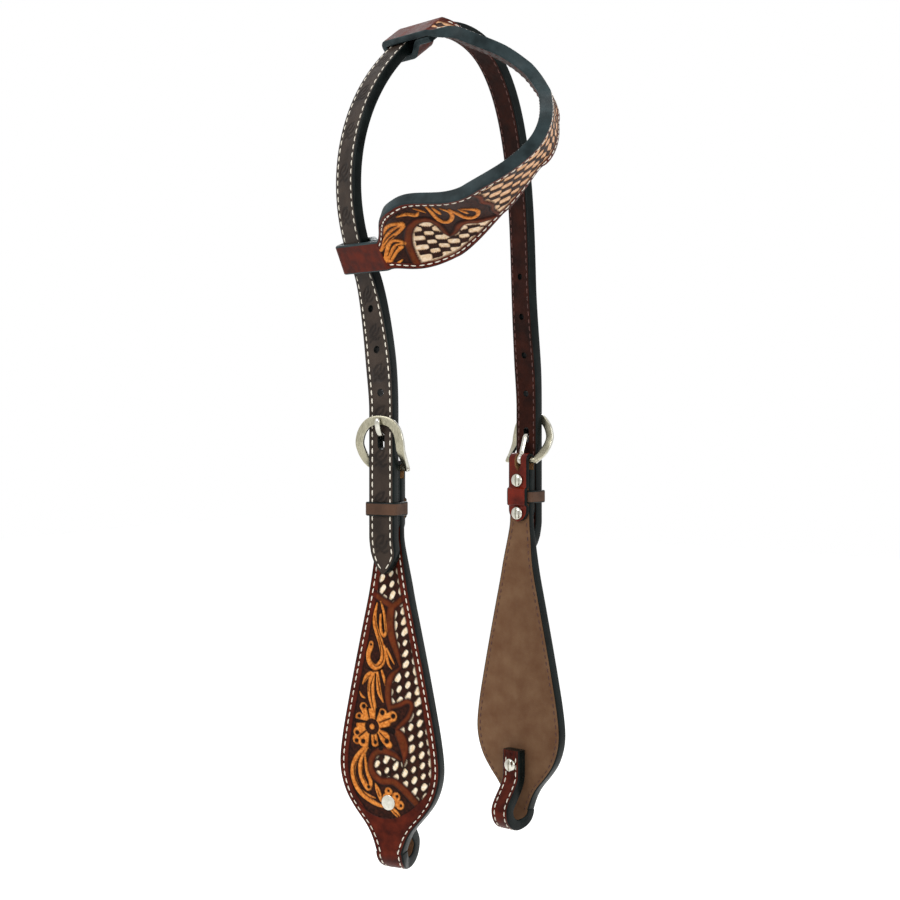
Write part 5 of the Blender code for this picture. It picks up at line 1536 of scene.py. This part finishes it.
def ear_relief(u, half):
    """Relief and paint of the ear piece, plain where it wraps round the crown."""
    x = u / MM
    y = np.broadcast_to(((ear_length - ear_start) / MM)[:, None], x.shape)
    edge = (half - np.abs(u)) / MM
    free = (y > 0.5) & (y < (ear_stop - ear_start) / MM - 0.5)
    border = edge - EAR_BORDER
    vine = strokes_gap(EAR_VINE, x, y)
    scroll = strokes_gap(EAR_SCROLLS, x, y)
    cut = strokes_gap(EAR_VEINS, x, y)
    weave = inside(EAR_WEAVE, x, y)
    turn_sin, turn_cos = EAR_BAR_TURN
    rows, bars = x * turn_cos + y * turn_sin, y * turn_cos - x * turn_sin
    grow = 0.4 * ease((1.8 - np.minimum(vine, border)) / 1.4)
    weave_relief = basket_weave(rows, bars, grow, **EAR_BASKET)
    press, paint = tool(border, vine, scroll, cut, weave, weave_relief, ~free)
    tan = EAR_TAN_SHARE + EAR_SWEEP_TAN_SHARE * ease((y - 60) / 40)
    paint[..., 0] = np.maximum(paint[..., 0], paint[..., 2])
    paint[..., 2] = paint[..., 2] * (1 - tan)
    return finish_edge(press, paint, edge, EAR_STITCH_INSET, free, EAR_RIM, EAR_RIM_STAIN)


face_tops = SEAT_GAP / 2 + blend(WRAP_FACE_THICK, EAR_FACE_THICK, ear_fullness)
lining_backs = -SEAT_GAP / 2 - blend(WRAP_LINING_THICK, EAR_LINING_THICK, ear_fullness)
ear_face = skin(
    "ear_tooled_face", ear_line, ear_halves, 0.0, face_tops,
    [painted_leather, slate_edge_paint, crown_lining_leather], columns=96, relief=ear_relief,
)
ear_lining = skin(
    "ear_lining_leather", ear_line, ear_halves, lining_backs, -0.02 * MM,
    [crown_lining_leather, slate_edge_paint, crown_lining_leather], show_high=False, columns=9,
)
ear_stitches = stitches(
    "ear_stitches", ear_line, ear_halves, face_tops - 0.1 * MM, EAR_STITCH_INSET, white_thread,
    ear_start + 1 * MM, ear_stop - 1 * MM, pitch=4.7 * MM, length=3.6 * MM,
)
ear_lining_stitches = stitches(
    "ear_lining_stitches", ear_line, ear_halves, lining_backs, EAR_STITCH_INSET, russet_thread,
    ear_start + 1 * MM, ear_stop - 1 * MM, pitch=4.7 * MM, length=3.4 * MM, outward=-1.0,
)
for piece, slot in (
    (ear_face, "tooled_leather"), (ear_lining, "crown_lining_leather"),
    (ear_stitches, "tooled_leather"), (ear_lining_stitches, "crown_lining_leather"),
):
    check_outward(piece)
    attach(piece, "ear_piece")
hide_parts("ear_face")
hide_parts("ear_lining")

# %% [markdown]
# ## Chapes and keepers
#
# The chape is a short strap, glazed oxblood, folded round the buckle's heel bar. Its inner leg
# bulges over the keeper, a small loop that holds the billet down. A slot with a raw tan edge lets
# the buckle's tongue through.


# %% Chapes
def bulge(s):
    """How far the chape's inner leg stands off where it passes over the keeper."""
    reach = KEEPER_HEIGHT / 2 + KEEPER_PLAY + SEAT_GAP + BULGE_RAMP
    return (KEEPER_THICK + SEAT_GAP) * ease((reach - np.abs(s - KEEPER_DROP)) / BULGE_RAMP)


CHAPE_TIP_SHARE = 0.93
SCREW_RECESS_RADIUS = 4.55 * MM
SCREW_RECESS_DEPTH = 3.3 * MM
CUTTER_REACH = 2 * MM


def build_chape(side):
    """Strap end folded round the heel bar, with a slot for the tongue and recesses for screws."""
    half = CHAPE_WIDTH / 2
    end = CHAPE_DROP - half
    angles = np.linspace(0, CHAPE_TIP_SHARE, 14)[1:] * math.pi / 2
    tip_s, tip_half = end + half * np.sin(angles), half * np.cos(angles)
    down = np.linspace(0, end, 80)
    turns = np.linspace(0, math.pi, 26)[1:-1]
    s = np.concatenate([tip_s[::-1], down[::-1], -FOLD_RADIUS * np.sin(turns), down, tip_s])
    legs = len(tip_s) + len(down)
    straights = np.full(len(s) - len(tip_s) * 2, half)
    halves = np.concatenate([tip_half[::-1], straights, tip_half])
    turn = np.concatenate([np.zeros(legs), turns, np.full(legs, math.pi)])
    n = np.concatenate([
        np.full(legs, SEAT_GAP), BAR_OUT + FOLD_RADIUS * np.cos(turns),
        -CHAPE_INNER - bulge(np.concatenate([down, tip_s])),
    ])
    points = side.place(0 * n, n, s)
    out = side.out * np.cos(turn)[:, None] + UP * np.sin(turn)[:, None]
    across = np.broadcast_to(side.across, points.shape)
    chape = skin(
        side.name + "_chape_strap", (points, out, across, out), halves, 0.0, CHAPE_THICK,
        [oxblood_leather, edge_paint, raw_leather],
    )
    chape.data.materials.append(raw_leather)
    check_outward(chape)
    slot_rise = FOLD_RADIUS + CHAPE_THICK + CUTTER_REACH
    slot_depth = slot_rise * 2
    half_slot = TONGUE_SLOT_WIDTH / 2
    front = BAR_OUT + slot_depth / 2
    slot_end = TONGUE_SLOT_DROP - half_slot
    outline = np.array([
        side.place(w, front, drop) for w, drop in (
            (-half_slot, -slot_rise), (half_slot, -slot_rise), (half_slot, slot_end),
            (0.0, TONGUE_SLOT_DROP + half_slot / 2), (-half_slot, slot_end),
        )
    ])
    cut_with(chape, [(outline, side.out * -slot_depth)], index=3)
    recess_top = SEAT_GAP + CHAPE_THICK + CUTTER_REACH
    prisms = []
    for drop in (UPPER_SCREW_DROP, LOWER_SCREW_DROP):
        centre = side.place(0, recess_top, drop)
        outline = round_outline(centre, side.across, UP, SCREW_RECESS_RADIUS)
        prisms.append((outline, side.out * -SCREW_RECESS_DEPTH))
    cut_with(chape, prisms, index=3)
    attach(chape, "straps")
    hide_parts(side.name + "_chape")


def build_keeper(side):
    """Loop round the billet, the cheek and the chape's outer leg."""
    half = max(BILLET_WIDTH, CHAPE_WIDTH) / 2 + KEEPER_SIDE_CLEARANCE
    low, high = -CHAPE_INNER, BILLET_OUTER + SEAT_GAP
    corner = KEEPER_CORNER - KEEPER_THICK
    places, outs = [], []
    centres = (
        (half - corner, high - corner), (corner - half, high - corner),
        (corner - half, low + corner), (half - corner, low + corner),
    )
    for quarter, (w, n) in enumerate(centres):
        for angle in math.pi / 2 * (quarter + np.linspace(0, 1, BEND_POINTS)):
            c, d = math.cos(angle), math.sin(angle)
            places.append(side.place(w + corner * c, n + corner * d, KEEPER_DROP))
            outs.append(side.across * c + side.out * d)
    points, outs = np.array(places), np.array(outs)
    across = np.broadcast_to(UP, points.shape)
    keeper = skin(
        side.name + "_keeper_loop", (points, outs, across, outs), KEEPER_HEIGHT / 2, 0.0, KEEPER_THICK,
        [keeper_leather, edge_paint, raw_leather], closed=True,
    )
    check_outward(keeper)
    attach(keeper, side.name + "_keeper_loop")
    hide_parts(side.name + "_keeper")


for side in (RIGHT, LEFT):
    build_chape(side)
    build_keeper(side)

# %% [markdown]
# ## Buckles
#
# Each buckle is cast, then bent: a flat horseshoe front, two arms that turn in past the billet, and
# a round heel bar. The front is brushed and the rest polished. The tongue is a ring on the bar and
# a shank bent up through the billet's hole to rest on the front.

# %% Buckle frames and tongues
BAND_WIDTH = 5.4 * MM
BAND_THICK = 2.3 * MM
FRAME_HALF_WIDTH = 13.5 * MM
FRAME_RISE = 28.3 * MM
FRAME_BEND_RISE = 15.5 * MM
FRAME_BAR_HALF = 9.4 * MM
FRAME_MIDDLE_SHARE = 0.8
BAND_SQUARE_SHARE = 0.4
FRAME_ARCH_SHARES = [(0.0, 1.0), (0.52, 0.88), (0.86, 0.5)]
FRAME_ARM_SHARES = [(1.0, 0.0, 1.0), (0.98, 0.14, 0.66), (0.93, 0.52, 0.3), (0.825, 0.92, 0.05)]
TONGUE_WIDTH = 3.4 * MM
TONGUE_THICK = 2.4 * MM
TONGUE_RING_WALL = 1.6 * MM
TONGUE_BORE_CLEARANCE = 0.25 * MM
TONGUE_HEEL_SHARES = (0.25, 1.6)
TONGUE_UNDER_SHARES = (1.05, 0.3)
TONGUE_ENTER_SHARES = (0.2, 0.3)
TONGUE_THROUGH_SHARES = (0.6, 0.6)
TONGUE_LEAVE_SHARES = (0.45, 0.92)
TONGUE_REST_SHARES = (0.5, 0.25)
TONGUE_RING_BEVEL = 0.3 * MM
TONGUE_RING_SIDES = 48
TUBE_SIDES = 28
KNOT_STEPS = 10


def oblong(half_w, half_t, square):
    """Section between an oval (square 1) and a box with rounded corners (towards 0)."""
    angles = 2 * math.pi * (np.arange(TUBE_SIDES) + 0.5) / TUBE_SIDES
    c, d = np.cos(angles), np.sin(angles)
    return np.sign(c) * np.abs(c) ** square * half_w, np.sign(d) * np.abs(d) ** square * half_t


def tube(name, rings, materials, closed, front=()):
    """Closed mesh through rings of points. front lists the ring's places of the first material."""
    rings = np.array(rings)
    count, size = rings.shape[:2]
    faces, caps = ring_faces(count, size, closed)
    strip = [0 if i in front else 1 for i in range(size)]
    indices = strip * (len(faces) // size) + [1] * len(caps)
    return check_outward(mesh_object(name, rings, faces + caps, materials, indices))


def build_buckle_frame(side):
    """Bent horseshoe and its heel bar, as one closed tube. The whole ring is mirrored about w = 0."""
    front = BILLET_OUTER + SEAT_GAP + BAND_THICK / 2
    knots = [
        (FRAME_HALF_WIDTH * w, front, blend(-FRAME_BEND_RISE, -FRAME_RISE, rise))
        for w, rise in FRAME_ARCH_SHARES
    ]
    knots += [
        (FRAME_HALF_WIDTH * w, blend(front, BAR_OUT, inward), -FRAME_BEND_RISE * rise)
        for w, inward, rise in FRAME_ARM_SHARES
    ]
    knots.append((FRAME_BAR_HALF, BAR_OUT, 0.0))
    loop = knots + [(-w, n, s) for w, n, s in reversed(knots[1:])]
    size = len(loop)
    route = []
    for i in range(size):
        if i == len(knots) - 1:
            route.append(np.array(loop[i]))
            continue
        window = [loop[(i + j - 1) % size] for j in range(4)]
        route += list(through(window, 1, np.arange(KNOT_STEPS) / KNOT_STEPS))
    route = np.array(route)
    middle = FRAME_BEND_RISE * FRAME_MIDDLE_SHARE
    rings = []
    for i, spot in enumerate(route):
        along = unit(route[(i + 1) % len(route)] - route[i - 1])
        radial = np.array([spot[0], 0, spot[2] + middle])
        radial = unit(radial - along * radial.dot(along))
        thick = np.cross(along, radial)
        barness = ease((FRAME_HALF_WIDTH - abs(spot[0])) / (FRAME_HALF_WIDTH - FRAME_BAR_HALF))
        barness = barness if spot[2] > -FRAME_BEND_RISE / 2 else 0.0
        w, t = oblong(
            blend(BAND_WIDTH, BAR_DIAMETER, barness) / 2, blend(BAND_THICK, BAR_DIAMETER, barness) / 2,
            blend(BAND_SQUARE_SHARE, 1.0, barness),
        )
        local = spot + radial * w[:, None] + thick * t[:, None]
        rings.append(side.place(local[:, 0], local[:, 1], local[:, 2]))
    quarter = TUBE_SIDES // 4
    tops = range(quarter - 5, quarter + 4)
    lows = [place + TUBE_SIDES // 2 for place in tops]
    frame_piece = tube(
        side.name + "_buckle", rings, [brushed_nickel, polished_nickel], True, list(tops) + lows
    )
    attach(frame_piece, side.name + "_buckle")
    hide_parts(side.name + "_buckle_frame")


def build_tongue(side):
    """Ring on the bar, joined to a shank that goes through the billet and rests on the front."""
    inner = BAR_DIAMETER / 2 + TONGUE_BORE_CLEARANCE
    outer = inner + TONGUE_RING_WALL
    front = BILLET_OUTER + SEAT_GAP + BAND_THICK + SEAT_GAP + TONGUE_THICK / 2
    rise = TONGUE_HOLE_HIGH - TONGUE_ENTRY
    under, back = TONGUE_UNDER_SHARES
    enter, enter_up = TONGUE_ENTER_SHARES
    cross, cross_up = TONGUE_THROUGH_SHARES
    leave, leave_up = TONGUE_LEAVE_SHARES
    before, past = TONGUE_REST_SHARES
    knots = [np.array(knot) for knot in (
        (BAR_OUT, -(inner + outer) / 2),
        (BAR_OUT + TONGUE_THICK * TONGUE_HEEL_SHARES[0], -outer * TONGUE_HEEL_SHARES[1]),
        (BILLET_INNER - TONGUE_THICK * under, -blend(TONGUE_ENTRY, outer, back)),
        (BILLET_INNER - TONGUE_THICK * enter, -TONGUE_ENTRY - rise * enter_up),
        (blend(BILLET_INNER, BILLET_OUTER, cross), -TONGUE_ENTRY - rise * cross_up),
        (blend(BILLET_OUTER, front, leave), -TONGUE_ENTRY - rise * leave_up),
        (front, -FRAME_RISE + BAND_WIDTH * before),
        (front, -FRAME_RISE - BAND_WIDTH * past),
    )]
    route = smooth_line(knots, KNOT_STEPS)
    rings = []
    last = len(route) - 1
    for i, spot in enumerate(route):
        along = unit(route[min(i + 1, last)] - route[max(i - 1, 0)])
        thick = np.array([-along[1], along[0]])
        tip = np.clip((i / last - 0.9) / 0.1, 0, 1)
        scale = math.sqrt(max(1 - tip ** 2 * 0.9, 0)) / 2
        w, t = oblong(TONGUE_WIDTH * scale, TONGUE_THICK * scale, 0.75)
        rings.append(side.place(w, spot[0] + thick[0] * t, spot[1] + thick[1] * t))
    shank = tube(side.name + "_tongue", rings, [polished_nickel, polished_nickel], False)
    half = TONGUE_WIDTH / 2
    shoulder, flat = outer - TONGUE_RING_BEVEL, half - TONGUE_RING_BEVEL
    ring_rows = [
        [
            side.place(w, BAR_OUT + radius * math.cos(angle), radius * math.sin(angle))
            for radius, w in (
                (inner, -half), (shoulder, -half), (outer, -flat), (outer, flat), (shoulder, half),
                (inner, half),
            )
        ]
        for angle in 2 * math.pi * np.arange(TONGUE_RING_SIDES) / TONGUE_RING_SIDES
    ]
    ring = tube(side.name + "_tongue_ring", ring_rows, [polished_nickel, polished_nickel], True)
    apply_boolean(shank, ring.data, "UNION")
    bpy.data.objects.remove(ring)
    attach(shank, side.name + "_tongue")
    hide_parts(side.name + "_buckle_tongue")


for side in (RIGHT, LEFT):
    build_buckle_frame(side)
    build_tongue(side)

# %% [markdown]
# ## Binding screws
#
# A binding screw is a post with a flat cap, which shows on the outer face, and a domed screw with a
# slot, which shows on the lining. Both are turned from one profile, and the slot is cut across.

# %% Binding screws
CHAPE_HEAD_DIAMETER = 8.5 * MM
BIT_CAP_DIAMETER = 9.0 * MM
DOME_HEIGHT = 2.4 * MM
CAP_THICK = 1.0 * MM
RECESS_FLOOR = 0.7 * MM
POST_DIAMETER = 4.0 * MM
SHANK_DIAMETER = 2.4 * MM
SLOT_WIDTH = 0.9 * MM
SLOT_DEPTH = 1.1 * MM
CAP_BEVEL = 0.35 * MM
DOME_RIM_SHARE = 0.3
TURNED_SIDES = 48


def turned(name, profile, origin, axis, side_dir, material):
    """Turned solid from (radius, height) points that run from the axis back to the axis."""
    angles = 2 * math.pi * np.arange(TURNED_SIDES) / TURNED_SIDES
    other = np.cross(axis, side_dir)
    arms = side_dir * np.cos(angles)[:, None] + other * np.sin(angles)[:, None]
    rings = [origin + axis * height + arms * max(radius, 0.01 * MM) for radius, height in profile]
    return tube(name, rings, [material, material], False)


def build_screw_set(side, label, drop, cap_out, head_in, cap_diameter):
    """A post with its cap outside, and the screw that goes into it from inside."""
    axis = side.out
    name = side.name + "_" + label
    cap, post, shank = cap_diameter / 2, POST_DIAMETER / 2, SHANK_DIAMETER / 2
    head = CHAPE_HEAD_DIAMETER / 2
    bore = shank + SEAT_GAP
    length = cap_out - head_in
    rim = [
        (cap - CAP_BEVEL * (1 - math.sin(a)), CAP_THICK - CAP_BEVEL * (1 - math.cos(a)))
        for a in np.linspace(0, math.pi / 2, 6)
    ]
    profile = [(0, CAP_THICK)] + rim + [
        (cap, 0), (post, 0), (post, SEAT_GAP - length), (bore, SEAT_GAP - length), (bore, -CAP_THICK),
        (0, -CAP_THICK),
    ]
    top = side.place(0, cap_out, drop)
    post_piece = turned(name + "_cap", profile, top, axis, side.across, polished_nickel)
    bottom = side.place(0, head_in, drop)
    rise = DOME_HEIGHT * DOME_RIM_SHARE
    dome = [
        (head * math.cos(a), rise + (DOME_HEIGHT - rise) * math.sin(a))
        for a in np.linspace(0, math.pi / 2, 14)
    ]
    shank_end = CAP_THICK + SEAT_GAP - length
    profile = [(0, shank_end), (shank, shank_end), (shank, 0), (head, 0)] + dome
    screw_piece = turned(name + "_head", profile, bottom, -axis, side.across, polished_nickel)
    half_slot = SLOT_WIDTH / 2
    reach = head + CUTTER_REACH
    base = bottom - axis * (DOME_HEIGHT - SLOT_DEPTH)
    outline = np.array([
        base + side.across * w + UP * h for w, h in (
            (half_slot, reach), (-half_slot, reach), (-half_slot, -reach), (half_slot, -reach)
        )
    ])
    cut_with(screw_piece, [(outline, axis * -(SLOT_DEPTH + CUTTER_REACH))])
    for piece, kind in ((post_piece, "_post"), (screw_piece, "_screw")):
        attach(piece, "straps")
        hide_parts(side.name + "_" + label + kind)


for side in (RIGHT, LEFT):
    cap_seat = SEAT_GAP + RECESS_FLOOR + SEAT_GAP / 2
    head_seat = -CHAPE_INNER - CHAPE_THICK - SEAT_GAP
    for label, drop in (("upper_chape", UPPER_SCREW_DROP), ("lower_chape", LOWER_SCREW_DROP)):
        build_screw_set(side, label, drop, cap_seat, head_seat, CHAPE_HEAD_DIAMETER)
    build_screw_set(side, "bit", BIT_SCREW_DROP, 0.05 * MM, -TAIL_FACE_IN - SEAT_GAP, BIT_CAP_DIAMETER)
